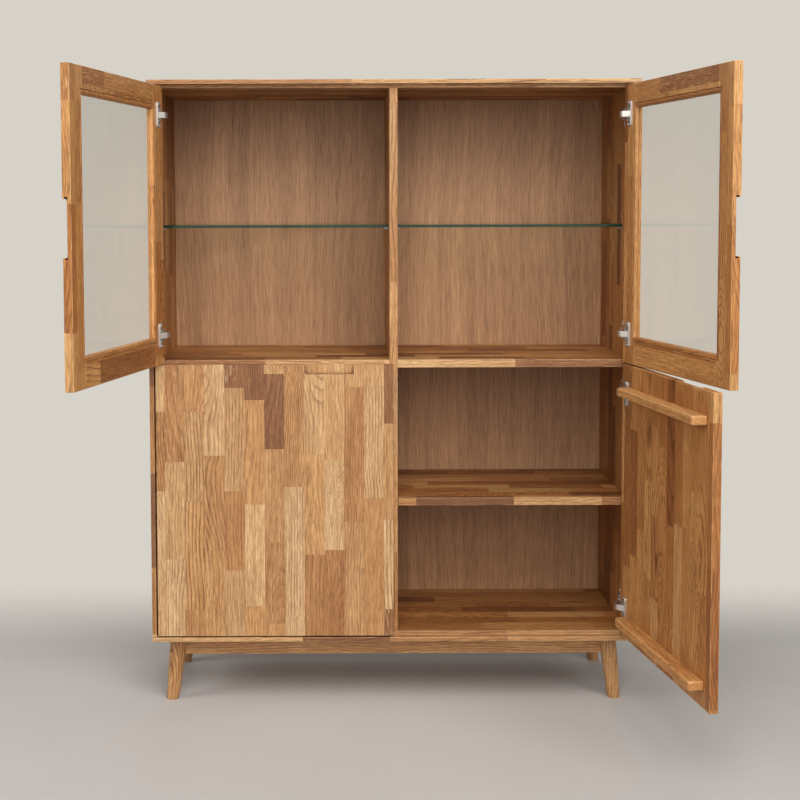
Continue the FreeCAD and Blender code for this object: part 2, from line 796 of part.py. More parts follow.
def hinge_arm(tag, s, z):
    """A channel that ends in a fork round the link's pin."""
    body = new_body(f"{tag}_arm", swing(s, 0.0, DOOR_PIVOT))
    u0 = LINK_PIVOT[0] - ARM_HALF
    half = D["arm_height"] / 2
    sketch = new_sketch(body, "XY_Plane", z - half)
    rectangle(sketch, (along(s, u0, 2 * ARM_HALF), ARM_FRONT), (2 * ARM_HALF, ARM_REAR - ARM_FRONT))
    pad = extrude(body, "Pad", sketch, "dims.arm_height")
    doc.recompute()
    nose = [
        f"Edge{k}"
        for k, e in enumerate(pad.Shape.Edges, start=1)
        if e.BoundBox.ZLength > 1 and abs(e.CenterOfMass.y - ARM_FRONT) < 1e-6
    ]
    bevel = body.newObject("PartDesign::Chamfer", "nose")
    bevel.Base = (pad, nose)
    bevel.Size = ARM_NOSE
    body.Tip = bevel
    inside = D["arm_height"] / 2 - D["arm_sheet"]
    slot = 2 * ARM_HALF + 2 * CUT_OVERRUN
    trim(
        body,
        (along(s, u0 - CUT_OVERRUN, slot), ARM_FRONT - CUT_OVERRUN, z - inside),
        (slot, FORK_END - ARM_FRONT + CUT_OVERRUN, 2 * inside),
    )
    channel = 2 * ARM_HALF + CUT_OVERRUN - ARM_WEB
    trim(
        body,
        (along(s, u0 - CUT_OVERRUN, channel), FORK_END - CUT_OVERRUN, z - inside),
        (channel, ARM_REAR - FORK_END + 2 * CUT_OVERRUN, 2 * inside),
    )
    pivot = (s * LINK_PIVOT[0], LINK_PIVOT[1])
    peg_holes(
        body, "XY_Plane", z - half, [pivot], HINGE_PIN_RADIUS + HOLE_PLAY, D["arm_height"], True
    )
    return body


def hinge_plate(tag, s, z):
    """A rib that the arm sits on, with two screwed wings behind it."""
    place = swing(s, 0.0, DOOR_PIVOT)
    inside = D["arm_height"] / 2 - D["arm_sheet"] - HOLE_PLAY
    depth_of_rib = LINK_PIVOT[0] + ARM_HALF - ARM_WEB - WALL_U - HOLE_PLAY
    body = slab(
        f"{tag}_plate",
        (along(s, WALL_U, depth_of_rib), FORK_END + RIB_GAP, z - inside),
        (depth_of_rib, RIB_LENGTH, 2 * inside),
        place,
        keep=False,
    )
    wings = new_sketch(body, "XY_Plane", z - WING_SPAN / 2)
    rectangle(
        wings, (along(s, WALL_U, WING_SHEET), ARM_REAR + WING_GAP), (WING_SHEET, WING_DEPTH)
    )
    extrude(body, "Pad", wings, WING_SPAN)
    return body


def plate_screws(s, z):
    """The two screws of a mounting plate's wings."""
    place = swing(s, 0.0, DOOR_PIVOT)
    wing_face = s * (WALL_U + WING_SHEET)
    middle = ARM_REAR + WING_GAP + WING_DEPTH / 2
    return [
        small_rod("screw", *HINGE_SCREW, Vector(wing_face, middle, z + rise), Vector(s, 0, 0), place)
        for rise in (-WING_SCREW_RISE, WING_SCREW_RISE)
    ]


def link_outline(s):
    """Outline of a strip with one bend, from the pin's eye to the end in the cup."""
    eye, bend, tip = (Vector(s * x, y, 0) for x, y in (LINK_PIVOT, LINK_BEND, LINK_TIP))
    first = (bend - eye).normalize()
    second = (tip - bend).normalize()
    turn = first.getAngle(second)
    outwards = (first - second).normalize() * (LINK_HALF_WIDTH / math.cos(turn / 2))
    across_first = Vector(-first.y, first.x, 0) * (s * LINK_HALF_WIDTH)
    across_second = Vector(-second.y, second.x, 0) * (s * LINK_HALF_WIDTH)
    outline = [
        (eye + across_first, 0.0),
        (bend + outwards, LINK_BEND_RADIUS + LINK_HALF_WIDTH),
        (tip + across_second, 0.0),
        (tip - across_second, 0.0),
        (bend - outwards, LINK_BEND_RADIUS - LINK_HALF_WIDTH),
        (eye - across_first, 0.0),
    ]
    return [(p.x, p.y, radius) for p, radius in outline]


def hinge_link(tag, s, z, angle):
    """A bent strip from the arm's pin, round the door's edge and into the cup."""
    turned = (angle - LINK_DRAWN_AT) * LINK_RATIO
    body = new_body(f"{tag}_link", swing(s, turned, LINK_PIVOT))
    low = z - D["link_height"] / 2
    strip = new_sketch(body, "XY_Plane", low)
    rounded_loop(strip, link_outline(s))
    extrude(body, "Pad", strip, "dims.link_height")
    pivot = (s * LINK_PIVOT[0], LINK_PIVOT[1])
    eye = new_sketch(body, "XY_Plane", low)
    closed_lines(eye, many_sided(pivot, LINK_EYE_RADIUS, SMALL_SIDES))
    extrude(body, "Pad", eye, "dims.link_height")
    drill(body, "XY_Plane", low, [pivot], HINGE_PIN_RADIUS + RUNNING, D["link_height"], True)
    return body


hands = {"ul": 1, "ur": -1, "ll": 1, "lr": -1}
plates, arms, pins, screws_on_plates = [], [], [], []
for tag, angle in DOORS.items():
    s = hands[tag]
    build_door = glazed_door if tag[0] == "u" else panel_door
    heights = build_door(tag, s, angle)
    place = swing(s, angle, DOOR_PIVOT)
    group(f"{tag}_hinge_cups", [hinge_cup(tag, s, z, place) for z in heights])
    group(f"{tag}_cup_screws", [h for z in heights for h in flange_screws(s, z, place)])
    group(f"{tag}_hinge_links", [hinge_link(tag, s, z, angle) for z in heights])
    for z in heights:
        arms.append(hinge_arm(tag, s, z))
        plates.append(hinge_plate(tag, s, z))
        screws_on_plates += plate_screws(s, z)
        at = swing(s, 0.0, DOOR_PIVOT).multVec(
            Vector(s * LINK_PIVOT[0], LINK_PIVOT[1], z - D["arm_height"] / 2)
        )
        upwards = Vector(0, 0, 1)
        pins.append(small_rod("pin", HINGE_PIN_RADIUS, "dims.arm_height", at, upwards))
group("hinge_plates", plates)
group("hinge_arms", arms)
group("hinge_pins", pins)
group("plate_screws", screws_on_plates)

doc.recompute()

# Check every object, then write one file per node

for item in doc.Objects:
    if {"Invalid", "Error"} & set(item.State):
        raise RuntimeError(f"{item.Label} did not build: {item.State}")
for node in nodes:
    if node.Shape.isNull() or not node.Shape.isValid() or not node.Shape.Solids:
        raise RuntimeError(f"{node.Label} has no valid solid")

os.makedirs("parts", exist_ok=True)
for node in nodes:
    node.Shape.exportStep(os.path.join("parts", f"{node.Label}.step"))
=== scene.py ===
"""Oak china cabinet: finishes, eased edges and small fittings laid over its solids, in metres."""
import json
import math

import bmesh
import bpy
import numpy as np
from mathutils import Matrix, Vector

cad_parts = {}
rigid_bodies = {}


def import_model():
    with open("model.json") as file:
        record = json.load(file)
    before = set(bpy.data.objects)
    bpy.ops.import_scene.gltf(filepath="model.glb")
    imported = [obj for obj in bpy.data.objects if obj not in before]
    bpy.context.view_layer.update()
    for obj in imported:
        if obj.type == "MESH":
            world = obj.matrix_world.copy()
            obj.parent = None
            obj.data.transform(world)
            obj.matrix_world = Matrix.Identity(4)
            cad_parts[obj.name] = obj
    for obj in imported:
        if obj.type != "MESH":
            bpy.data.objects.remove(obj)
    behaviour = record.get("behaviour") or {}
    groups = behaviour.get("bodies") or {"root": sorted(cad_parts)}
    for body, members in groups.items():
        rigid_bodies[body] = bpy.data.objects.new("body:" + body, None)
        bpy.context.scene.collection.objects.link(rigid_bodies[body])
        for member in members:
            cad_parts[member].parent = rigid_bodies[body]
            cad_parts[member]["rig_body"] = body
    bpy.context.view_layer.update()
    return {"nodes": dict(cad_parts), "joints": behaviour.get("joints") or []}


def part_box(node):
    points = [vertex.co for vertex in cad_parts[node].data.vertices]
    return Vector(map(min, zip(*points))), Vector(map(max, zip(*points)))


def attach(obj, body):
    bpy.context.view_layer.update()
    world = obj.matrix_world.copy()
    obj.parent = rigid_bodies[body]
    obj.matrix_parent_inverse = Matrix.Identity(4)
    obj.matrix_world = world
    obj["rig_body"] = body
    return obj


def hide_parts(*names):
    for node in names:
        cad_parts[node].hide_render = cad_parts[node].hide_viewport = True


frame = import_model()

HINGES = {joint["child"][:2]: joint for joint in frame["joints"] if joint["name"].endswith("_door_hinge")}
GLAZED, PANELLED = ("ul", "ur"), ("ll", "lr")

# Glued-up oak: the staves' size, how plainly their joints show, and the spacing of the growth rings.
STAVE_WIDTH = 0.045
STAVE_LENGTH = 0.235
STAVE_JOINTS = 0.35
RING_SPACING = 0.0062

# Finishes are cut from separate layers of wood, this deep.
LAYER = 0.1

# Faces that turn by more than the first angle meet at a sharp edge; by less than the second they are one.
SHARP = math.radians(30)
FLAT = math.radians(0.3)

# Points this close are one, ends this close to a level lie on it, and edges this short are dropped.
WELD = 2e-6
ON_LEVEL = 1e-5
SPECK = 5e-6

# A small rod's corners: four on each of its ten sides and ten on each end.
ROD_CORNERS = 60


# Finishes


def paint(red, green, blue):
    """A colour given in 0 to 255 screen values, as the linear colour that a shader takes."""
    screen = np.array([red, green, blue]) / 255.0
    low, high = screen / 12.92, ((screen + 0.055) / 1.055) ** 2.4
    return (*np.where(screen <= 0.04045, low, high).tolist(), 1.0)


class Wiring:
    """Places shader nodes in one tree; a socket takes a number, a colour or another node's output."""

    def __init__(self, tree):
        self.tree = tree
        tree.nodes.clear()

    def feed(self, socket, value):
        if isinstance(value, bpy.types.NodeSocket):
            self.tree.links.new(value, socket)
        else:
            socket.default_value = value

    def put(self, kind, values=None, **settings):
        node = self.tree.nodes.new(kind)
        for key, value in settings.items():
            setattr(node, key, value)
        for key, value in (values or {}).items():
            self.feed(node.inputs[key], value)
        return node

    def work(self, operation, *values):
        node = self.put("ShaderNodeMath", operation=operation)
        for socket, value in zip(node.inputs, values):
            self.feed(socket, value)
        return node.outputs[0]

    def mix(self, share, first, second, way="MIX"):
        node = self.put("ShaderNodeMix", data_type="RGBA", blend_type=way, clamp_factor=True)
        for socket, value in zip((node.inputs[0], node.inputs[6], node.inputs[7]), (share, first, second)):
            self.feed(socket, value)
        return node.outputs[2]

    def ramp(self, value, stops):
        node = self.put("ShaderNodeValToRGB", {"Fac": value})
        marks = node.color_ramp.elements
        while len(marks) < len(stops):
            marks.new(0.5)
        for mark, (place, colour) in zip(marks, stops):
            mark.position = place
            mark.color = colour if isinstance(colour, tuple) else (colour, colour, colour, 1.0)
        return node.outputs["Color"]

    def noise(self, place, detail=2.0, roughness=0.5, size=1.0):
        values = {"Vector": place, "Scale": size, "Detail": detail, "Roughness": roughness}
        return self.put("ShaderNodeTexNoise", values).outputs["Fac"]

    def noise_along(self, distance):
        values = {"W": distance, "Scale": 1.0, "Detail": 1.0}
        return self.put("ShaderNodeTexNoise", values, noise_dimensions="1D").outputs["Fac"]

    def luck(self, x, y, z):
        place = self.point(x, y, z)
        return self.put("ShaderNodeTexWhiteNoise", {"Vector": place}, noise_dimensions="3D").outputs

    def point(self, x, y, z):
        return self.put("ShaderNodeCombineXYZ", {"X": x, "Y": y, "Z": z}).outputs[0]

    def between(self, value, start, end, first=0.0, last=1.0, **settings):
        """Goes from the first level to the last while a value goes from start to end."""
        levels = {"Value": value, "From Min": start, "From Max": end, "To Min": first, "To Max": last}
        return self.put("ShaderNodeMapRange", levels, **settings).outputs[0]

    def relief(self, height, strength, distance):
        values = {"Height": height, "Strength": strength, "Distance": distance}
        return self.put("ShaderNodeBump", values).outputs[0]

    def show(self, shader):
        self.put("ShaderNodeOutputMaterial", {"Surface": shader.outputs[0]})


def new_finish(name):
    """A new finish, the wiring of its empty tree, and the place on the object that its patterns read."""
    material = bpy.data.materials.new(name)
    material.use_nodes = True
    w = Wiring(material.node_tree)
    return material, w, w.put("ShaderNodeTexCoord").outputs["Object"]


OAK_INPUTS = {
    "Grain": "NodeSocketVector",
    "Stave width": "NodeSocketFloat",
    "Stave length": "NodeSocketFloat",
    "Darkest": "NodeSocketFloat",
    "Lightest": "NodeSocketFloat",
    "Joints": "NodeSocketFloat",
    "Rubbed and highlit": "NodeSocketFloat",
}
OAK_OUTPUTS = {"Colour": "NodeSocketColor", "Roughness": "NodeSocketFloat", "Height": "NodeSocketFloat"}
OAK_TONES = [
    (0.00, paint(158, 112, 76)),
    (0.12, paint(178, 129, 87)),
    (0.24, paint(212, 161, 108)),
    (0.52, paint(231, 184, 128)),
    (0.78, paint(243, 201, 146)),
    (1.00, paint(252, 220, 172)),
]
WARM, COOL = (1.0, 0.95, 0.86, 1.0), (0.97, 0.99, 1.0, 1.0)
EARLY_WOOD = paint(138, 96, 60)

# How strongly each kind of mark shows in the wood, and the colour it brings.
OAK_MARKS = {
    "fibre": (0.46, paint(162, 124, 86)),
    "hair": (0.46, paint(162, 126, 88)),
    "cloud": (0.44, paint(206, 178, 146)),
    "ray": (0.30, paint(242, 212, 166)),
    "pore": (0.50, paint(124, 90, 62)),
    "seam": (0.55, paint(120, 92, 70)),
    # Paler rubbed edges: worn wood and a painted highlight along the edges.
    "rub_and_highlight": (0.38, paint(238, 206, 158)),
}
SEAM_FULL, SEAM_GONE = 0.0001, 0.0006


def oak_group():
    """Solid oak glued up from staves.

    A point has a place along the grain, across the staves and into the thickness. The staves lie in rows
    of one width; along each row they end at uneven lengths. Each stave draws a tone and a heart of its own.
    Its growth rings are the distance from that wandering heart, so a face shows arches, stripes or both,
    and an end shows arcs. Pores, fibres and pale rays are noises stretched along the grain. Rubbed edges
    are smoother, and paler: worn wood and a painted highlight where the edges catch the light.
    """
    tree = bpy.data.node_groups.new("oak staves", "ShaderNodeTree")
    for name, kind in OAK_INPUTS.items():
        tree.interface.new_socket(name, in_out="INPUT", socket_type=kind)
    for name, kind in OAK_OUTPUTS.items():
        tree.interface.new_socket(name, in_out="OUTPUT", socket_type=kind)
    w = Wiring(tree)
    given = w.put("NodeGroupInput").outputs
    width, length = given["Stave width"], given["Stave length"]
    x, y, z = w.put("ShaderNodeSeparateXYZ", {"Vector": given["Grain"]}).outputs

    def stretched(along, across, detail=2.0, roughness=0.5):
        sideways, inwards = w.work("MULTIPLY", y, across), w.work("MULTIPLY", z, across)
        return w.noise(w.point(w.work("MULTIPLY", start, along), sideways, inwards), detail, roughness)

    def marked(colour, mark, amount, way="MULTIPLY"):
        share, tint = OAK_MARKS[mark]
        return w.mix(w.work("MULTIPLY", amount, share), colour, tint, way)

    lane = w.work("ADD", w.work("DIVIDE", y, width), 40.5)
    row = w.work("FLOOR", lane)
    across = w.work("SUBTRACT", w.work("SUBTRACT", lane, row), 0.5)
    layer = w.work("FLOOR", w.work("DIVIDE", z, LAYER))
    depth = w.work("SUBTRACT", z, w.work("MULTIPLY", layer, LAYER))
    row_luck = w.luck(row, layer, 3.0)["Value"]
    pace = w.work("DIVIDE", w.work("MULTIPLY_ADD", row_luck, 0.5, 0.75), length)
    ripple = w.noise_along(w.work("MULTIPLY_ADD", row, 3.7, w.work("MULTIPLY", x, 4.0)))
    drift = w.work("MULTIPLY", ripple, 0.45)
    run = w.work("ADD", w.work("MULTIPLY_ADD", x, pace, w.work("MULTIPLY", row_luck, 11.7)), drift)
    stave = w.work("FLOOR", run)
    along = w.work("SUBTRACT", run, stave)
    luck = w.luck(row, stave, layer)
    luck_a, luck_b, luck_c = w.put("ShaderNodeSeparateColor", {"Color": luck["Color"]}).outputs
    more_luck = w.luck(stave, row, w.work("ADD", layer, 0.5))
    luck_d, luck_e, luck_f = w.put("ShaderNodeSeparateColor", {"Color": more_luck["Color"]}).outputs

    start = w.work("MULTIPLY_ADD", luck_a, 13.0, x)
    heart = w.work("MULTIPLY_ADD", luck_b, 0.26, -0.13)
    beside = w.work("SUBTRACT", w.work("MULTIPLY", across, width), heart)
    sway = w.work("MULTIPLY_ADD", w.noise_along(w.work("MULTIPLY", start, 2.6)), 0.08, -0.04)
    below = w.work("ADD", w.work("ADD", depth, w.work("MULTIPLY_ADD", luck_c, 0.05, 0.008)), sway)
    squares = w.work("ADD", w.work("MULTIPLY", beside, beside), w.work("MULTIPLY", below, below))
    radius = w.work("SQRT", squares)
    spacing = w.work("MULTIPLY", w.work("MULTIPLY_ADD", luck_d, 0.9, 0.35), RING_SPACING)
    wavy = w.work("MULTIPLY_ADD", stretched(6.0, 70.0, 3.0), 0.0052, radius)
    ring = w.work("DIVIDE", wavy, spacing)
    early = w.ramp(
        w.work("FRACT", ring),
        [(0.0, 1.0), (0.10, 0.74), (0.30, 0.24), (0.76, 0.03), (0.94, 0.16), (1.0, 1.0)],
    )
    patch = w.ramp(stretched(9.0, 55.0), [(0.36, 0.55), (0.58, 1.0)])
    contrast = w.work("MULTIPLY_ADD", luck_f, 0.65, 0.30)
    early_here = w.work("MULTIPLY", w.work("MULTIPLY", early, patch), contrast)

    fibre = w.ramp(stretched(13.0, 215.0, 3.0, 0.7), [(0.32, 0.0), (0.70, 1.0)])
    hair = w.ramp(stretched(48.0, 430.0, 2.0, 0.6), [(0.36, 0.0), (0.66, 1.0)])
    pores = w.ramp(stretched(34.0, 900.0, 1.0), [(0.0, 0.0), (0.55, 0.0), (0.64, 1.0)])
    pores_here = w.work("MULTIPLY", pores, w.work("MULTIPLY_ADD", early, 0.7, 0.3))
    slant = w.work("MULTIPLY_ADD", y, 110.0, w.work("MULTIPLY", start, 46.0))
    ray = w.noise(w.point(slant, w.work("MULTIPLY", y, 230.0), w.work("MULTIPLY", z, 230.0)), 2.0, 0.55)
    quartered = w.ramp(luck_c, [(0.0, 0.0), (0.70, 0.0), (0.80, 1.0)])
    rays_here = w.work("MULTIPLY", w.ramp(ray, [(0.0, 0.0), (0.54, 0.0), (0.68, 1.0)]), quartered)
    cloud = w.ramp(stretched(5.0, 30.0, 3.0), [(0.32, 0.0), (0.68, 1.0)])

    side_gap = w.work("MULTIPLY", w.work("SUBTRACT", 0.5, w.work("ABSOLUTE", across)), width)
    end_gap = w.work("DIVIDE", w.work("MINIMUM", along, w.work("SUBTRACT", 1.0, along)), pace)
    nearest = w.work("MINIMUM", side_gap, end_gap)
    seam_here = w.work("MULTIPLY", w.between(nearest, SEAM_FULL, SEAM_GONE, 1.0, 0.0), given["Joints"])
    # Paler rubbed edges, broken up by noise: wear and a painted highlight.
    wear_and_highlight_breakup = w.ramp(stretched(40.0, 60.0), [(0.35, 0.15), (0.65, 1.0)])
    rub_and_highlight_here = w.work("MULTIPLY", given["Rubbed and highlit"], wear_and_highlight_breakup)

    tone = w.between(luck["Value"], 0.0, 1.0, given["Darkest"], given["Lightest"])
    colour = w.mix(1.0, w.ramp(tone, OAK_TONES), w.mix(luck_e, WARM, COOL), "MULTIPLY")
    colour = w.mix(early_here, colour, EARLY_WOOD, "MULTIPLY")
    colour = marked(colour, "fibre", fibre)
    colour = marked(colour, "hair", hair)
    colour = marked(colour, "cloud", cloud)
    colour = marked(colour, "ray", rays_here, "MIX")
    colour = marked(colour, "pore", pores_here)
    colour = marked(colour, "seam", seam_here)
    colour = marked(colour, "rub_and_highlight", rub_and_highlight_here, "MIX")

    rough = w.work("MULTIPLY_ADD", fibre, 0.16, w.work("MULTIPLY_ADD", pores_here, 0.18, 0.40))
    rough = w.work("MULTIPLY_ADD", rub_and_highlight_here, -0.08, rough)
    hollow = w.work("MULTIPLY_ADD", pores_here, 0.7, w.work("MULTIPLY", seam_here, 0.6))
    raised = w.work("MULTIPLY_ADD", fibre, 0.35, w.work("MULTIPLY", early_here, -0.3))
    height = w.work("SUBTRACT", raised, hollow)
    w.put("NodeGroupOutput", {"Colour": colour, "Roughness": rough, "Height": height})
    return tree


OAK = oak_group()
AXES = {"x": Vector((1, 0, 0)), "y": Vector((0, 1, 0)), "z": Vector((0, 0, 1))}


def door_swing(door):
    """The move from a shut door to the door as it is stored: a turn about its hinge's upright axis."""
    hinge = HINGES[door]
    pivot = Vector(hinge["pos_m"])
    turn = Matrix.Rotation(-math.radians(hinge["range_deg"][0]) * hinge["axis"][2], 4, "Z")
    return Matrix.Translation(pivot) @ turn @ Matrix.Translation(-pivot)


def swung(door, points):
    """Points of a shut door, moved to where the door stands."""
    move = np.array(door_swing(door))
    return points @ move[:3, :3].T + move[:3, 3]


def shut(door, points):
    """Points of a door as it stands, moved to where they are when it is shut."""
    move = np.array(door_swing(door).inverted())
    return points @ move[:3, :3].T + move[:3, 3]


def door_ways(door):
    """A door's directions as it stands: inwards from its face, and from its hinge edge to its free edge."""
    hand = -np.sign(HINGES[door]["pos_m"][0])
    turn = np.array(door_swing(door))[:3, :3]
    return turn @ (0.0, 1.0, 0.0), turn @ (hand, 0.0, 0.0)


def grain_lay(along, across, door=None, inset=0.0):
    """The turn and shift that bring a point to (along the grain, across the staves, into the thickness).

    An open door is first swung shut about its hinge, so its grain stays with the door.
    """
    first, second = AXES[along], AXES[across]
    lay = Matrix((first, second, first.cross(second)))
    shift = Vector((0.0, 0.0, inset))
    if door is None:
        return lay, shift
    back = door_swing(door).inverted()
    return lay @ back.to_3x3(), shift + lay @ back.translation


# Painted shade that deepens the oak: inside the carcass, and in a piece's own hollows, from its ambient
# occlusion.
PAINTED_CARCASS_SHADE = (0.78, 0.63, 0.44, 1.0)
PAINTED_HOLLOW_SHADE = (0.30, 0.19, 0.11, 1.0)
HOLLOW_REACH = 0.010
WOOD_SHEEN = 0.4

SIDE_BOXES = np.array([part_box(side) for side in ("left_side", "right_side")])
CASE_LOW, CASE_HIGH = SIDE_BOXES[:, 0].min(0), SIDE_BOXES[:, 1].max(0)
FRONT_FROM, FRONT_TO = 0.012, 0.055
SKIN_FROM, SKIN_TO = 0.008, 0.010


def painted_shade_share(w, place):
    """How much painted shade a point takes inside the carcass: 0 on outer faces and front edges, 1 from a
    little way in.
    """
    x, y, z = w.put("ShaderNodeSeparateXYZ", {"Vector": place}).outputs
    (_, front, foot), (side, _, head) = CASE_LOW, CASE_HIGH
    behind = w.between(y, front + FRONT_FROM, front + FRONT_TO)
    beside = w.between(w.work("ABSOLUTE", x), side - SKIN_TO, side - SKIN_FROM, 1.0, 0.0)
    under = w.between(z, head + SKIN_FROM, head + SKIN_TO, 1.0, 0.0)
    over = w.between(z, foot - SKIN_TO, foot - SKIN_FROM)
    return w.work("MULTIPLY", w.work("MULTIPLY", behind, beside), w.work("MULTIPLY", under, over))


def oak(
    name,
    along,
    across,
    door=None,
    inset=0.0,
    width=STAVE_WIDTH,
    length=STAVE_LENGTH,
    tones=(0.0, 1.0),
    joints=STAVE_JOINTS,
    wash=None,
    shaded_inside=False,
    shaded_hollows=False,
):
    """Oiled oak with its grain laid along one axis of a piece.

    A wash tints the whole finish. A piece may take painted shade inside the carcass, a darker and richer
    tone there than on the faces that look out, and painted shade in its own hollows, darker where its
    ambient occlusion is low.
    """
    material, w, place = new_finish(name)
    turn, shift = grain_lay(along, across, door, inset)
    lay = w.put("ShaderNodeMapping", {"Vector": place, "Location": shift, "Rotation": turn.to_euler("XYZ")})
    rubbed_and_highlit = w.put("ShaderNodeAttribute", attribute_name="rubbed_and_highlit").outputs["Fac"]
    staves = w.put("ShaderNodeGroup", node_tree=OAK)
    values = (lay.outputs[0], width, length, *tones, joints, rubbed_and_highlit)
    for socket, value in zip(staves.inputs, values):
        w.feed(socket, value)
    colour = staves.outputs["Colour"]
    if wash is not None:
        colour = w.mix(1.0, colour, wash, "MULTIPLY")
    # Painted shade inside the carcass: a darker, richer tone there.
    if shaded_inside:
        colour = w.mix(painted_shade_share(w, place), colour, PAINTED_CARCASS_SHADE, "MULTIPLY")
    # Painted shade in the piece's own hollows: darker where its ambient occlusion is low.
    if shaded_hollows:
        shade = w.put("ShaderNodeAmbientOcclusion", {"Distance": HOLLOW_REACH}, samples=12, only_local=True)
        painted_hollow_shade = w.ramp(shade.outputs["AO"], [(0.42, 0.9), (0.92, 0.0)])
        colour = w.mix(painted_hollow_shade, colour, PAINTED_HOLLOW_SHADE, "MULTIPLY")
    shader = w.put(
        "ShaderNodeBsdfPrincipled",
        {
            "Base Color": colour,
            "Roughness": staves.outputs["Roughness"],
            "Normal": w.relief(staves.outputs["Height"], 0.35, 0.0006),
            "Specular IOR Level": WOOD_SHEEN,
        },
    )
    w.show(shader)
    return material


VENEER_TONES = [
    (0.34, paint(134, 96, 64)),
    (0.46, paint(160, 118, 82)),
    (0.56, paint(176, 132, 93)),
    (0.68, paint(194, 150, 109)),
]


def veneer(name):
    """Sliced oak veneer with upright grain.

    Broad bands, narrow streaks and hair-fine lines are noises stretched along the grain, which wanders a
    little to either side on its way up.
    """
    material, w, place = new_finish(name)
    x, y, z = w.put("ShaderNodeSeparateXYZ", {"Vector": place}).outputs
    wander = w.noise(w.point(w.work("MULTIPLY", x, 2.5), 0.0, w.work("MULTIPLY", z, 1.1)), 1.0)
    across = w.work("MULTIPLY_ADD", wander, 0.09, x)

    def stretched(along, over, detail, roughness=0.5):
        spot = w.point(w.work("MULTIPLY", across, over), y, w.work("MULTIPLY", z, along))
        return w.noise(spot, detail, roughness)

    band = stretched(0.7, 15.0, 2.0)
    streak = stretched(2.2, 85.0, 3.0, 0.6)
    hair = stretched(16.0, 300.0, 3.0, 0.65)
    pores = w.ramp(stretched(22.0, 700.0, 1.0), [(0.0, 0.0), (0.54, 0.0), (0.66, 1.0)])
    fine_tone = w.work("MULTIPLY_ADD", streak, 0.30, w.work("MULTIPLY", hair, 0.42))
    colour = w.ramp(w.work("MULTIPLY_ADD", band, 0.28, fine_tone), VENEER_TONES)
    colour = w.mix(w.work("MULTIPLY", pores, 0.28), colour, paint(120, 88, 64), "MULTIPLY")
    rough = w.work("MULTIPLY_ADD", hair, 0.14, w.work("MULTIPLY_ADD", pores, 0.14, 0.44))
    height = w.work("MULTIPLY_ADD", pores, -0.7, w.work("MULTIPLY", hair, 0.4))
    shader = w.put(
        "ShaderNodeBsdfPrincipled",
        {
            "Base Color": colour,
            "Roughness": rough,
            "Normal": w.relief(height, 0.25, 0.0005),
            "Specular IOR Level": WOOD_SHEEN,
        },
    )
    w.show(shader)
    return material


def metal(name, colour, roughness, scale):
    """Plated or bare metal, with a fine rolled grain in its gloss."""
    material, w, place = new_finish(name)
    drawn = w.put("ShaderNodeMapping", {"Vector": place, "Scale": (scale, scale, scale * 0.15)}).outputs[0]
    streak = w.noise(drawn, 3.0, 0.6)
    blotch = w.noise(place, 2.0, 0.5, 160.0)
    gloss = w.work("MULTIPLY_ADD", streak, 0.16, w.work("MULTIPLY_ADD", blotch, 0.14, roughness - 0.14))
    tint = w.mix(w.work("MULTIPLY", blotch, 0.4), colour, paint(150, 144, 136), "MULTIPLY")
    normal = w.relief(streak, 0.03, 0.0001)
    shader = w.put(
        "ShaderNodeBsdfPrincipled",
        {"Base Color": tint, "Metallic": 1.0, "Roughness": gloss, "Normal": normal},
    )
    w.show(shader)
    return material


GLASS_BEND = 1.5
GLASS_SHADE = (0.93, 0.96, 0.94, 1.0)


def clear_glass(name):
    """Clear float glass with a faint film of handling; lamps pass through it."""
    material, w, place = new_finish(name)
    tint = w.mix(w.noise(place, 2.0, 0.5, 3.0), paint(252, 251, 248), paint(248, 248, 244))
    film = w.work("MULTIPLY", w.noise(place, 3.0, 0.6, 9.0), 0.03)
    shader = w.put(
        "ShaderNodeBsdfPrincipled",
        {"Base Color": tint, "Roughness": film, "IOR": GLASS_BEND, "Transmission Weight": 1.0},
    )
    clear = w.put("ShaderNodeBsdfTransparent", {"Color": GLASS_SHADE})
    lamp_ray = w.put("ShaderNodeLightPath").outputs["Is Shadow Ray"]
    w.show(w.put("ShaderNodeMixShader", {0: lamp_ray, 1: shader.outputs[0], 2: clear.outputs[0]}))
    return material


def glass_edge(name):
    """The ground edge of a glass shelf, where the glass looks dark green through its length."""
    material, w, place = new_finish(name)
    cloud = w.noise(place, 3.0, 0.6, 24.0)
    lines = w.put("ShaderNodeMapping", {"Vector": place, "Scale": (60.0, 60.0, 4000.0)}).outputs[0]
    ground = w.noise(lines, 2.0)
    shader = w.put(
        "ShaderNodeBsdfPrincipled",
        {
            "Base Color": w.mix(cloud, paint(16, 48, 32), paint(32, 70, 48)),
            "Roughness": w.work("MULTIPLY_ADD", ground, 0.12, 0.10),
            "Specular IOR Level": 0.12,
            "Normal": w.relief(ground, 0.05, 0.0001),
        },
    )
    w.show(shader)
    return material


WHOLE = {"width": 0.3, "length": 2.5, "joints": 0.0}
# Painted shade: a darker, richer wash on the open doors' wood and on the battens.
PAINTED_SHADE_WASH = (1.0, 0.87, 0.70, 1.0)
DOOR_WOOD = {"tones": (0.1, 0.95), "wash": PAINTED_SHADE_WASH}
RAIL_WOOD = {"tones": (0.14, 0.8), "wash": PAINTED_SHADE_WASH}
BEAD_WOOD = {"tones": (0.2, 0.7), "wash": PAINTED_SHADE_WASH, **WHOLE}
BATTEN_WOOD = {"tones": (0.6, 0.9), "wash": PAINTED_SHADE_WASH, **WHOLE}
APRON_WOOD = {"tones": (0.5, 0.9), **WHOLE}
LEG_WOOD = {"tones": (0.4, 0.8), **WHOLE}

# How deep in its layers of wood each finish starts.
SIDE_INSET, UPRIGHT_INSET, LEVEL_INSET = 0.03, 0.02, 0.46
BEAD_UPRIGHT_INSET, BEAD_LEVEL_INSET, BATTEN_INSET = 0.04, 0.08, 0.06

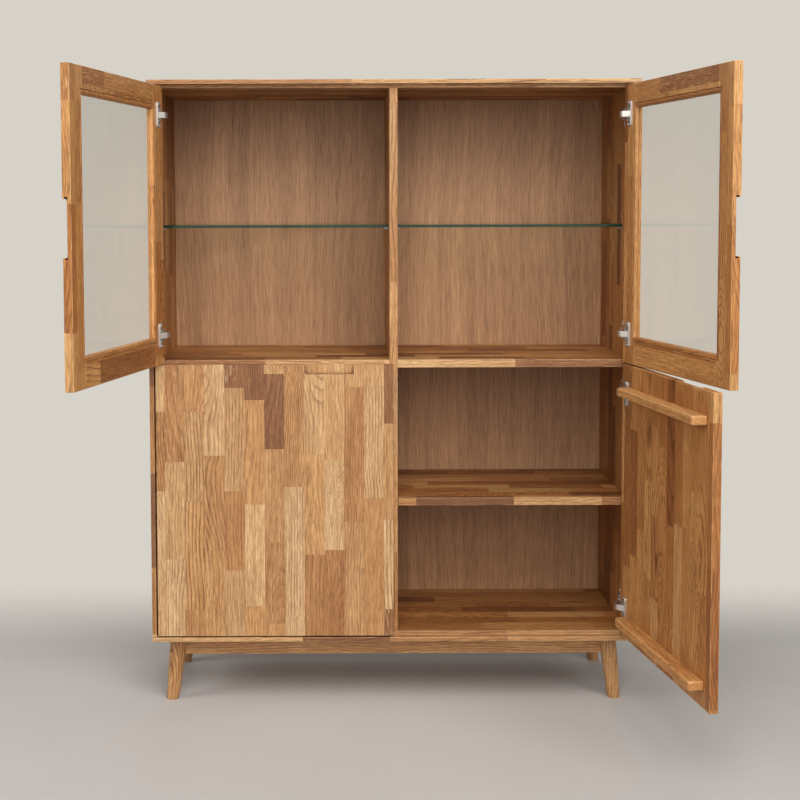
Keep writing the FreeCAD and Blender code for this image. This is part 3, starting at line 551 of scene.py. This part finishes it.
# The carcass boards take painted shade inside the carcass.
UPRIGHT_SIDE = oak("oak_upright_side", "z", "y", inset=SIDE_INSET, shaded_inside=True)
LEVEL_BOARD = oak("oak_level_board", "x", "y", shaded_inside=True)
LONG_APRON = oak("oak_long_apron", "x", "z", **APRON_WOOD)
SHORT_APRON = oak("oak_short_apron", "y", "z", inset=SIDE_INSET, **APRON_WOOD)
LEG = oak("oak_leg", "z", "x", **LEG_WOOD)
BACK = veneer("oak_back_veneer")
NICKEL = metal("nickel_plate", paint(226, 224, 221), 0.42, 900.0)
STEEL = metal("steel_zinc", paint(206, 206, 208), 0.34, 1400.0)
CLEAR_GLASS = clear_glass("clear_float_glass")
GLASS_EDGE = glass_edge("green_glass_edge")

# The shut door shows its outer face untinted; the open ones take a darker, richer wash of painted shade,
# for the shade on their inner sides.
DOOR_UPRIGHT, DOOR_LEVEL, BEAD_UPRIGHT, BEAD_LEVEL, BATTEN = {}, {}, {}, {}, {}
for number, door in enumerate(HINGES):
    inset = UPRIGHT_INSET + LAYER * number
    # The open doors take the painted shade wash.
    wood = {} if door == "ll" else DOOR_WOOD
    # Each door's uprights take painted shade in their hollows.
    DOOR_UPRIGHT[door] = oak(f"oak_{door}_door_upright", "z", "x", door, inset, shaded_hollows=True, **wood)
for number, door in enumerate(GLAZED):
    layer = LAYER * number
    upright, level = BEAD_UPRIGHT_INSET + layer, BEAD_LEVEL_INSET + layer
    DOOR_LEVEL[door] = oak(f"oak_{door}_door_level", "x", "z", door, LEVEL_INSET + layer, **RAIL_WOOD)
    BEAD_UPRIGHT[door] = oak(f"oak_{door}_bead_upright", "z", "x", door, upright, **BEAD_WOOD)
    BEAD_LEVEL[door] = oak(f"oak_{door}_bead_level", "x", "z", door, level, **BEAD_WOOD)
for number, door in enumerate(PANELLED):
    inset = BATTEN_INSET + LAYER * number
    BATTEN[door] = oak(f"oak_{door}_batten", "x", "z", door, inset, **BATTEN_WOOD)


# Pieces that follow the solids, with their edges eased


def carried_by(item, node, *replaced):
    """Lets a new object ride with a node's body, and hides the nodes it replaces."""
    bpy.context.scene.collection.objects.link(item)
    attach(item, frame["nodes"][node]["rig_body"])
    if replaced:
        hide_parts(*replaced)


def rounded_over(shape, edges, radius, segments):
    """Rounds edges of a shape and returns the new strips of faces."""
    return bmesh.ops.bevel(
        shape,
        geom=edges,
        offset=radius,
        offset_type="OFFSET",
        segments=segments,
        profile=0.5,
        affect="EDGES",
        clamp_overlap=True,
    )["faces"]


def on_outline(edge, levels):
    """Whether both ends of an edge lie on a piece's top or underside."""
    return all(min(abs(vert.co.z - level) for level in levels) < ON_LEVEL for vert in edge.verts)


def eased(node, finish, radius, segments=2, bored=False):
    """A solid with its sharp edges rounded over. The rounded strips are marked for paler wood: worn, and a
    painted highlight where edges catch the light.

    On a bored piece only edges that end on its top or underside are rounded, and screw holes stay sharp.
    """
    shape = bmesh.new()
    shape.from_mesh(frame["nodes"][node].data)
    rubbed_and_highlit = shape.faces.layers.float.new("rubbed_and_highlit")
    bmesh.ops.remove_doubles(shape, verts=shape.verts, dist=WELD)
    bmesh.ops.dissolve_limit(shape, angle_limit=FLAT, verts=shape.verts, edges=shape.edges)
    sharp = [edge for edge in shape.edges if edge.is_manifold and edge.calc_face_angle() > SHARP]
    if bored:
        low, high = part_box(node)
        sharp = [edge for edge in sharp if on_outline(edge, (low[2], high[2]))]
    # The rounded strips are marked for paler wood: wear and a painted highlight.
    for face in rounded_over(shape, sharp, radius, segments):
        face[rubbed_and_highlit] = 1.0
    bmesh.ops.dissolve_degenerate(shape, dist=SPECK, edges=shape.edges)
    for face in shape.faces:
        face.smooth = True
    for edge in shape.edges:
        edge.smooth = True
    mesh = bpy.data.meshes.new(node + "_eased")
    shape.to_mesh(mesh)
    shape.free()
    if "custom_normal" in mesh.attributes:
        mesh.attributes.remove(mesh.attributes["custom_normal"])
    mesh.materials.clear()
    mesh.materials.append(finish)
    item = bpy.data.objects.new(node + "_eased", mesh)
    item.modifiers.new("flat faces", "WEIGHTED_NORMAL")
    carried_by(item, node, node)


# Radii of the eased edges.
SIDE_EDGE, BOARD_EDGE, LEG_EDGE = 0.0010, 0.0012, 0.0008
BATTEN_EDGE, PLATE_EDGE, LINK_EDGE = 0.0036, 0.0004, 0.0005
BATTEN_STEPS = 4

SHELVES = [f"{kind}_shelf_{side}" for kind in ("middle", "lower") for side in ("left", "right")]
LEGS = [f"leg_{end}_{side}" for end in ("front", "rear") for side in ("left", "right")]

for node in ("left_side", "right_side", "centre_divider"):
    eased(node, UPRIGHT_SIDE, SIDE_EDGE)
for node in ("top_board", "bottom_board", *SHELVES):
    eased(node, LEVEL_BOARD, BOARD_EDGE)
for node in ("front_apron", "rear_apron"):
    eased(node, LONG_APRON, BOARD_EDGE)
for node in ("left_apron", "right_apron"):
    eased(node, SHORT_APRON, BOARD_EDGE)
for node in LEGS:
    eased(node, LEG, LEG_EDGE)
for door in GLAZED:
    for node in ("hinge_stile", "free_stile"):
        eased(f"{door}_{node}", DOOR_UPRIGHT[door], BOARD_EDGE)
    for node in ("top_rail", "bottom_rail"):
        eased(f"{door}_{node}", DOOR_LEVEL[door], BOARD_EDGE)
for door in PANELLED:
    eased(f"{door}_panel", DOOR_UPRIGHT[door], BOARD_EDGE)
    for node in ("upper_batten", "lower_batten"):
        eased(f"{door}_{node}", BATTEN[door], BATTEN_EDGE, BATTEN_STEPS, bored=True)
for node in ("hinge_plates", "hinge_arms"):
    eased(node, NICKEL, PLATE_EDGE)
for door in HINGES:
    eased(f"{door}_hinge_links", NICKEL, LINK_EDGE)


# New pieces, worked out as whole surfaces


def node_points(node):
    """A node's corners, one row each."""
    mesh = frame["nodes"][node].data
    points = np.empty(len(mesh.vertices) * 3)
    mesh.vertices.foreach_get("co", points)
    return points.reshape(-1, 3)


def rod_places(node):
    """Middles of the like small rods in a node."""
    return node_points(node).reshape(-1, ROD_CORNERS, 3).mean(1)


def new_piece(name, points, faces, finishes, node, replaced=(), kinds=None):
    """One closed mesh from its points and faces, with its faces turned outwards."""
    mesh = bpy.data.meshes.new(name)
    mesh.from_pydata(points.reshape(-1, 3).tolist(), [], faces)
    shape = bmesh.new()
    shape.from_mesh(mesh)
    bmesh.ops.recalc_face_normals(shape, faces=shape.faces)
    shape.to_mesh(mesh)
    shape.free()
    for finish in finishes:
        mesh.materials.append(finish)
    if kinds is not None:
        mesh.polygons.foreach_set("material_index", kinds)
    mesh.shade_smooth()
    mesh.set_sharp_from_angle(angle=SHARP)
    carried_by(bpy.data.objects.new(name, mesh), node, *replaced)


def shells(radius, height, sides, places, axes, across):
    """Closed turned surfaces, one at each place.

    Row by row and turn by turn, a point lies at a radius from an axis and at a height along it, and either
    may vary with the turn. The first and last rows are poles on the axis.
    """
    rows = len(radius)
    radius = np.broadcast_to(radius, (rows, sides))
    height = np.broadcast_to(height, (rows, sides))
    turn = np.linspace(0.0, 2 * np.pi, sides, endpoint=False)[:, None]
    upright = np.cross(axes, across)
    out = np.cos(turn) * across[:, None] + np.sin(turn) * upright[:, None]
    rings = radius[1:-1, :, None] * out[:, None] + height[1:-1, :, None] * axes[:, None, None]
    ends = height[[0, -1], :1] * axes[:, None]
    points = np.concatenate([rings.reshape(len(places), -1, 3), ends], 1) + places[:, None]

    here = np.arange(sides)
    after = np.roll(here, -1)
    ring = np.arange(rows - 3)[:, None] * sides
    last = (rows - 3) * sides
    count = (rows - 2) * sides
    corners = [ring + here, ring + after, ring + after + sides, ring + here + sides]
    quads = np.stack(corners, -1).reshape(-1, 4)
    near = np.stack([np.full(sides, count), after, here], -1)
    far = np.stack([np.full(sides, count + 1), last + here, last + after], -1)
    copy = np.arange(len(places))[:, None, None] * (count + 2)
    faces = [(part + copy).reshape(-1, part.shape[1]).tolist() for part in (quads, near, far)]
    return points, faces[0] + faces[1] + faces[2]


def turned(profile, sides, places, axes):
    """Turned pieces: a profile of (radius, height) points carried round an axis at each place."""
    radius, height = np.array(profile).T
    across = np.roll(axes, 1, axis=1)
    return shells(radius[:, None], height[:, None], sides, places, axes, across)


HEAD_RINGS = np.array([0.0, 0.10, 0.20, 0.30, 0.40, 0.50, 0.58, 0.66, 0.80, 0.92, 1.0])[:, None]
HEAD_SIDES = 40
CROSS_HALF, CROSS_REACH, CROSS_SLOPE, CROSS_DEPTH = 0.17, 0.62, 0.07, 0.6
DOME_RIM = 0.55


def screw_heads(name, node, radius, depth, axes, places, replaced=()):
    """Domed screw heads with a cross recess.

    Over a disc of rings and turns the height is a dome, less a hollow where the nearer of the two distances
    from the cross's arms is small and the farther one is within the arms' reach.
    """
    turn = np.linspace(0.0, 2 * np.pi, HEAD_SIDES, endpoint=False)[None, :]
    x = np.abs(HEAD_RINGS * np.cos(turn))
    y = np.abs(HEAD_RINGS * np.sin(turn))
    beside = np.clip((CROSS_HALF - np.minimum(x, y)) / CROSS_SLOPE, 0.0, 1.0)
    within = np.clip((CROSS_REACH - np.maximum(x, y)) / CROSS_SLOPE, 0.0, 1.0)
    dome = DOME_RIM + (1.0 - DOME_RIM) * np.sqrt(1.0 - HEAD_RINGS**2)
    top = depth * (dome - CROSS_DEPTH * beside * within)
    rows = np.vstack([HEAD_RINGS, [[1.0], [0.0]]]) * radius
    heights = np.vstack([top, np.zeros((2, HEAD_SIDES))])
    across = np.roll(axes, 1, axis=1)
    points, faces = shells(rows, heights, HEAD_SIDES, places - axes * depth / 2, axes, across)
    new_piece(name, points, faces, [STEEL], node, replaced)


def door_screws(name, node, size, door):
    """Screw heads that look inwards from a door, where a node has plain ones."""
    places = rod_places(node)
    axes = np.tile(door_ways(door)[0], (len(places), 1))
    screw_heads(name, node, *size, axes, places, [node])


def level_axes(hands):
    """Axes that run level from side to side, towards each hand."""
    return hands[:, None] * np.array([1.0, 0.0, 0.0])


# Radius and depth of each kind of screw head, and how far the adjusters lie from the arm's rear end.
HINGE_SCREW = (0.0036, 0.0015)
BATTEN_SCREW = (0.0024, 0.0020)
ADJUSTER = (0.0028, 0.0010)
ADJUSTER_PLACES = (0.0075, 0.0185)

for door in HINGES:
    door_screws(f"{door}_flange_screws", f"{door}_cup_screws", HINGE_SCREW, door)
for door in PANELLED:
    door_screws(f"{door}_bar_screws", f"{door}_batten_screws", BATTEN_SCREW, door)

places = rod_places("plate_screws")
from_side = level_axes(-np.sign(places[:, 0]))
screw_heads("wing_screws", "plate_screws", *HINGE_SCREW, from_side, places, ["plate_screws"])

# Two adjusting screws on each hinge arm, on the face towards the middle of the cabinet.
pins = rod_places("hinge_pins")
arm_face = np.abs(node_points("hinge_arms")[:, 0]).min()
arm_rear = node_points("hinge_arms")[:, 1].max()
hands = np.sign(pins[:, 0])
for number, back in enumerate(ADJUSTER_PLACES, start=1):
    faces_at = hands * (arm_face - ADJUSTER[1] / 2)
    places = np.stack([faces_at, np.full(len(pins), arm_rear - back), pins[:, 2]], -1)
    screw_heads(f"adjusting_screws_{number}", "hinge_arms", *ADJUSTER, level_axes(-hands), places)

ROD_SIDES = 24
PIN_PROFILE = [
    (0.0, -0.00875), (0.0013, -0.00862), (0.0018, -0.0083), (0.0020, -0.0078),
    (0.0020, 0.0078), (0.0018, 0.0083), (0.0013, 0.00862), (0.0, 0.00875),
]
upwards = np.tile((0.0, 0.0, 1.0), (len(pins), 1))
points, faces = turned(PIN_PROFILE, ROD_SIDES, pins, upwards)
new_piece("link_pins", points, faces, [NICKEL], "hinge_pins", ["hinge_pins"])

# A shelf peg's plain half sits in the wall; outside it has a thin collar and a rounded end.
PEG_PROFILE = [
    (0.0, -0.0080), (0.0021, -0.0080), (0.0025, -0.0076), (0.0025, 0.00005),
    (0.0037, 0.00005), (0.0040, 0.0003), (0.0040, 0.0009), (0.0037, 0.0012), (0.0025, 0.0013),
    (0.0025, 0.0070), (0.0021, 0.0076), (0.0012, 0.0079), (0.0, 0.0080),
]

# Pegs nearer the middle than this sit in the divider.
DIVIDER_REACH = 0.1
pegs = rod_places("shelf_pegs")
on_side = np.abs(pegs[:, 0]) > DIVIDER_REACH
into_bay = np.where(on_side, -1.0, 1.0) * np.sign(pegs[:, 0])
points, faces = turned(PEG_PROFILE, ROD_SIDES, pegs, level_axes(into_bay))
new_piece("collared_pegs", points, faces, [STEEL], "shelf_pegs", ["shelf_pegs"])

# Hinge cups: the bowl, its fillet and rounded edges, the flange plate, and the plate's folded edge.
CUP_SIDES = 120
CUP_WALL, CUP_BORE, CUP_DEPTH, CUP_SHEET = 0.01745, 0.0163, 0.01145, 0.0012
FILLET, FILLET_MIDDLE, RIM_ROUND, FOOT_ROUND = 0.0014, 0.0004, 0.0003, 0.0006
FLUSH_RIM, RIM_WALL = 0.0176, 0.7
PLATE_FAR, PLATE_NEAR, PLATE_HALF, PLATE_SQUARE = 0.0190, 0.0072, 0.0285, 9
FLANGE, FLANGE_LEAST = 0.0012, 0.0001
RAISED_FROM, RAISED_OVER = -0.65, 0.35
FOLD, FOLD_WIDTH, FOLD_ROUND, FOLD_STEEP = 0.0040, 0.0026, 0.0005, 8.0
SUNK = 0.0002


def hinge_cups(door):
    """Pressed hinge cups with a screwed flange.

    A profile runs up the bowl's wall, over the flange and down outside the bowl, and is carried round the
    cup's axis. The flange's outer radius is the larger of a ring and a plate with rounded corners. The
    plate's long edge away from the hinge is folded up. Towards the door's hinge edge, where the link comes
    in, the flange thins out until the rim lies flush.
    """
    node = f"{door}_cup_screws"
    inwards, away = door_ways(door)
    pairs = rod_places(node).reshape(-1, 2, 3).mean(1)
    places = pairs - inwards * (FLANGE + HINGE_SCREW[1] / 2)
    turn = np.linspace(0.0, 2 * np.pi, CUP_SIDES, endpoint=False)
    side, rise = np.cos(turn), np.abs(np.sin(turn))
    raised = np.clip((side - RAISED_FROM) / RAISED_OVER, 0.0, 1.0)
    reach_x = np.abs(side) / np.where(side > 0, PLATE_FAR, PLATE_NEAR)
    reach_z = rise / PLATE_HALF
    plate = (reach_x**PLATE_SQUARE + reach_z**PLATE_SQUARE) ** (-1 / PLATE_SQUARE)
    edge = np.maximum(FLUSH_RIM, plate)
    inner = np.maximum(edge - FOLD_WIDTH, CUP_BORE + FOLD_ROUND)
    lift = FLANGE_LEAST + (FLANGE - FLANGE_LEAST) * raised
    along_edge = (side / PLATE_FAR - rise / PLATE_HALF) / FOLD_STEEP + 1.0
    folded = np.clip(along_edge, 0.0, 1.0) * (side > 0)
    crest = lift + (FOLD - lift) * folded
    level = np.ones(CUP_SIDES)
    floor_height = CUP_SHEET - CUP_DEPTH
    profile = [
        (0.0, floor_height),
        (CUP_BORE - FILLET, floor_height),
        (CUP_BORE - FILLET_MIDDLE, floor_height + FILLET_MIDDLE),
        (CUP_BORE, floor_height + FILLET),
        (CUP_BORE, lift * RIM_WALL),
        (CUP_BORE + RIM_ROUND, lift),
        (inner, lift),
        (inner + FOLD_ROUND / 2, crest),
        (edge - FOLD_ROUND, crest),
        (edge, crest - FOLD_ROUND * raised),
        (edge, -SUNK),
        (CUP_WALL, -SUNK),
        (CUP_WALL, FOOT_ROUND - CUP_DEPTH),
        (CUP_WALL - FOOT_ROUND, -CUP_DEPTH),
        (0.0, -CUP_DEPTH),
    ]
    radius = np.stack([out * level for out, _ in profile])
    height = np.stack([up * level for _, up in profile])
    axes, across = (np.tile(way, (len(places), 1)) for way in (inwards, away))
    points, faces = shells(radius, height, CUP_SIDES, places, axes, across)
    cups = f"{door}_hinge_cups"
    new_piece(f"{door}_pressed_cups", points, faces, [NICKEL], cups, [cups])


for door in HINGES:
    hinge_cups(door)


def mitred_loop(low, high, profile):
    """A profile carried round a rectangle with mitred corners.

    A profile point lies a distance in from the rectangle's sides and at a height off its plane, so at each
    of the four corners it moves in along both sides at once. Gives points by corner and profile point.
    """
    inset, lift = np.array(profile).T
    ways = np.array([(1.0, 1.0), (-1.0, 1.0), (-1.0, -1.0), (1.0, -1.0)])
    corners = np.where(ways > 0, low, high)
    flat = corners[:, None] + ways[:, None] * inset[None, :, None]
    heights = np.broadcast_to(lift, flat.shape[:2])
    return np.concatenate([flat, heights[..., None]], -1)


def loop_faces(count, closed):
    """Faces between neighbouring corners and profile points of a mitred loop, side by side."""
    corner = np.arange(4)[:, None]
    after = (corner + 1) % 4
    point = np.arange(count if closed else count - 1)[None, :]
    following = (point + 1) % count
    first, second = corner * count, after * count
    corners = [first + point, second + point, second + following, first + following]
    return np.stack(corners, -1).reshape(-1, 4)


BEAD_WIDTH, BEAD_ROUND, BEAD_STEP, BEAD_GROOVE = 0.010, 0.0052, 0.0014, 0.0030
BEAD_ARC = np.linspace(0.0, np.pi / 2, 6)


def glazing_bead(door):
    """A glazing bead mitred round the pane, with a rounded inner corner and a groove beside the frame."""
    nodes = (f"{door}_level_beads", f"{door}_upright_beads")
    corners = np.concatenate([shut(door, node_points(node)) for node in nodes])
    low, high = corners.min(0), corners.max(0)
    depth = high[1] - low[1]
    nose_in = BEAD_WIDTH - BEAD_ROUND + BEAD_ROUND * np.cos(BEAD_ARC)
    nose_up = depth - BEAD_ROUND + BEAD_ROUND * np.sin(BEAD_ARC)
    groove = [(BEAD_STEP, depth), (0.0, depth - BEAD_GROOVE)]
    profile = [(0.0, 0.0), (BEAD_WIDTH, 0.0), *zip(nose_in, nose_up), *groove]
    loop = mitred_loop(low[[0, 2]], high[[0, 2]], profile)
    points = np.stack([loop[..., 0], low[1] + loop[..., 2], loop[..., 1]], -1).reshape(-1, 3)
    faces = loop_faces(len(profile), closed=True)
    kinds = np.repeat([0, 1, 0, 1], len(profile))
    finishes = [BEAD_LEVEL[door], BEAD_UPRIGHT[door]]
    new_piece(f"{door}_glazing_bead", swung(door, points), faces.tolist(), finishes, nodes[0], nodes, kinds)


for door in GLAZED:
    glazing_bead(door)

ARRIS = 0.0006


def glass_shelf(node):
    """A glass shelf: two clear faces, and a ground edge with its corners taken off carried round them."""
    low, high = (np.array(corner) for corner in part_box(node))
    thick = high[2] - low[2]
    profile = [(ARRIS, 0.0), (0.0, ARRIS), (0.0, thick - ARRIS), (ARRIS, thick)]
    points = mitred_loop(low[:2], high[:2], profile) + (0.0, 0.0, low[2])
    rim = loop_faces(len(profile), closed=False).tolist()
    under = (np.arange(4) * len(profile)).tolist()
    over = (np.arange(4) * len(profile) + len(profile) - 1).tolist()
    kinds = [1] * len(rim) + [0, 0]
    new_piece(node + "_glass", points, [*rim, under, over], [CLEAR_GLASS, GLASS_EDGE], node, [node], kinds)


for node in ("glass_shelf_left", "glass_shelf_right"):
    glass_shelf(node)

for node in ("back_panel_left", "back_panel_right"):
    frame["nodes"][node].material_slots[0].material = BACK
for door in GLAZED:
    frame["nodes"][f"{door}_pane"].material_slots[0].material = CLEAR_GLASS


# Studio


FLOOR_RINGS, FLOOR_SPOKES, FLOOR_REACH, FLOOR_SPREAD = 24, 96, 6.0, 1.5
FADE_OUTWARDS, FADE_BACKWARDS, FADE_FROM, FADE_TO = 0.3, 1.1, 0.2, 1.0


def floor_finish():
    """Pale grey, faintly clouded, and clearer the farther out or back a point lies."""
    material, w, place = new_finish("pale_floor")
    tint = w.mix(w.noise(place, 4.0, 0.6, 1.6), paint(196, 192, 189), paint(208, 204, 201))
    reach = w.put("ShaderNodeVectorMath", {0: place}, operation="LENGTH").outputs["Value"]
    back = w.put("ShaderNodeSeparateXYZ", {"Vector": place}).outputs["Y"]
    outwards, backwards = w.work("MULTIPLY", reach, FADE_OUTWARDS), w.work("MULTIPLY", back, FADE_BACKWARDS)
    far = w.work("MAXIMUM", outwards, backwards)
    fade = w.between(far, FADE_FROM, FADE_TO, interpolation_type="SMOOTHSTEP")
    solid = w.put(
        "ShaderNodeBsdfPrincipled", {"Base Color": tint, "Roughness": 0.7, "Specular IOR Level": 0.1}
    )
    clear = w.put("ShaderNodeBsdfTransparent")
    w.show(w.put("ShaderNodeMixShader", {0: fade, 1: solid.outputs[0], 2: clear.outputs[0]}))
    return material


def floor():
    """A level disc under the object: rings of points about its middle, closer together near it."""
    reach = np.linspace(0.0, 1.0, FLOOR_RINGS + 1)[1:, None] ** FLOOR_SPREAD * FLOOR_REACH
    turn = np.linspace(0.0, 2 * np.pi, FLOOR_SPOKES, endpoint=False)[None, :]
    level = np.zeros((FLOOR_RINGS, FLOOR_SPOKES))
    points = np.stack([reach * np.cos(turn), reach * np.sin(turn), level], -1).reshape(-1, 3)
    points = np.vstack([points, [[0.0, 0.0, 0.0]]])
    here = np.arange(FLOOR_SPOKES)
    after = np.roll(here, -1)
    ring = np.arange(FLOOR_RINGS - 1)[:, None] * FLOOR_SPOKES
    corners = [ring + here, ring + here + FLOOR_SPOKES, ring + after + FLOOR_SPOKES, ring + after]
    quads = np.stack(corners, -1).reshape(-1, 4)
    fan = np.stack([np.full(FLOOR_SPOKES, FLOOR_RINGS * FLOOR_SPOKES), here, after], -1)
    mesh = bpy.data.meshes.new("floor")
    mesh.from_pydata(points.tolist(), [], quads.tolist() + fan.tolist())
    mesh.materials.append(floor_finish())
    ground = bpy.data.objects.new("floor", mesh)
    bpy.context.scene.collection.objects.link(ground)


AIM = Vector((0.0, -0.1, 0.75))
LAMP_TINT = (1.0, 0.985, 0.965)


def soft_lamp(name, place, size, power):
    """A square soft lamp turned towards the middle of the cabinet, not seen through its panes."""
    lamp = bpy.data.lights.new(name, "AREA")
    lamp.size = size
    lamp.energy = power
    lamp.color = LAMP_TINT
    holder = bpy.data.objects.new(name, lamp)
    holder.location = place
    holder.rotation_euler = (AIM - Vector(place)).to_track_quat("-Z", "Y").to_euler()
    holder.visible_transmission = False
    bpy.context.scene.collection.objects.link(holder)


BACKDROP = paint(215, 210, 200)
SKY_LOW, SKY_HIGH = 0.02, 0.06


def surroundings():
    """An even pale world.

    One colour lies behind the object, in its reflections and behind its glass; a soft light grows upwards.
    """
    world = bpy.data.worlds.new("studio")
    bpy.context.scene.world = world
    world.use_nodes = True
    w = Wiring(world.node_tree)
    path = w.put("ShaderNodeLightPath").outputs
    mirrored = w.work("MAXIMUM", path["Is Glossy Ray"], path["Is Transmission Ray"])
    seen = w.work("MAXIMUM", path["Is Camera Ray"], mirrored)
    shown = w.put("ShaderNodeBackground", {"Color": BACKDROP, "Strength": 1.0})
    way = w.put("ShaderNodeTexCoord").outputs["Generated"]
    rise = w.put("ShaderNodeSeparateXYZ", {"Vector": way}).outputs["Z"]
    level = w.between(rise, 0.0, 1.0, SKY_LOW, SKY_HIGH)
    light = w.put("ShaderNodeBackground", {"Color": (*LAMP_TINT, 1.0), "Strength": level})
    both = w.put("ShaderNodeMixShader", {0: seen, 1: light.outputs[0], 2: shown.outputs[0]})
    w.put("ShaderNodeOutputWorld", {"Surface": both.outputs[0]})


floor()
surroundings()
soft_lamp("right window", (2.2, -3.4, 2.8), 2.4, 62.0)
soft_lamp("left window", (-3.4, -1.2, 2.4), 2.0, 46.0)
soft_lamp("far wall", (0.0, -5.0, 2.0), 3.0, 98.0)
soft_lamp("ceiling", (0.0, -3.0, 3.6), 2.4, 82.0)
soft_lamp("rear ceiling", (0.0, 2.6, 3.6), 2.2, 30.0)

camera = bpy.data.cameras.new("photograph")
camera.lens = 64.92
camera.sensor_width = 36.0
camera.shift_x = 0.0688
camera.shift_y = -0.1150
stand = bpy.data.objects.new("photograph", camera)
stand.location = (-0.1127, -3.4250, 1.1281)
stand.rotation_euler = (math.radians(90.0 - 3.850), math.radians(0.170), math.radians(-0.065))
bpy.context.scene.collection.objects.link(stand)
bpy.context.scene.camera = stand
bpy.context.scene.view_settings.view_transform = "Standard"
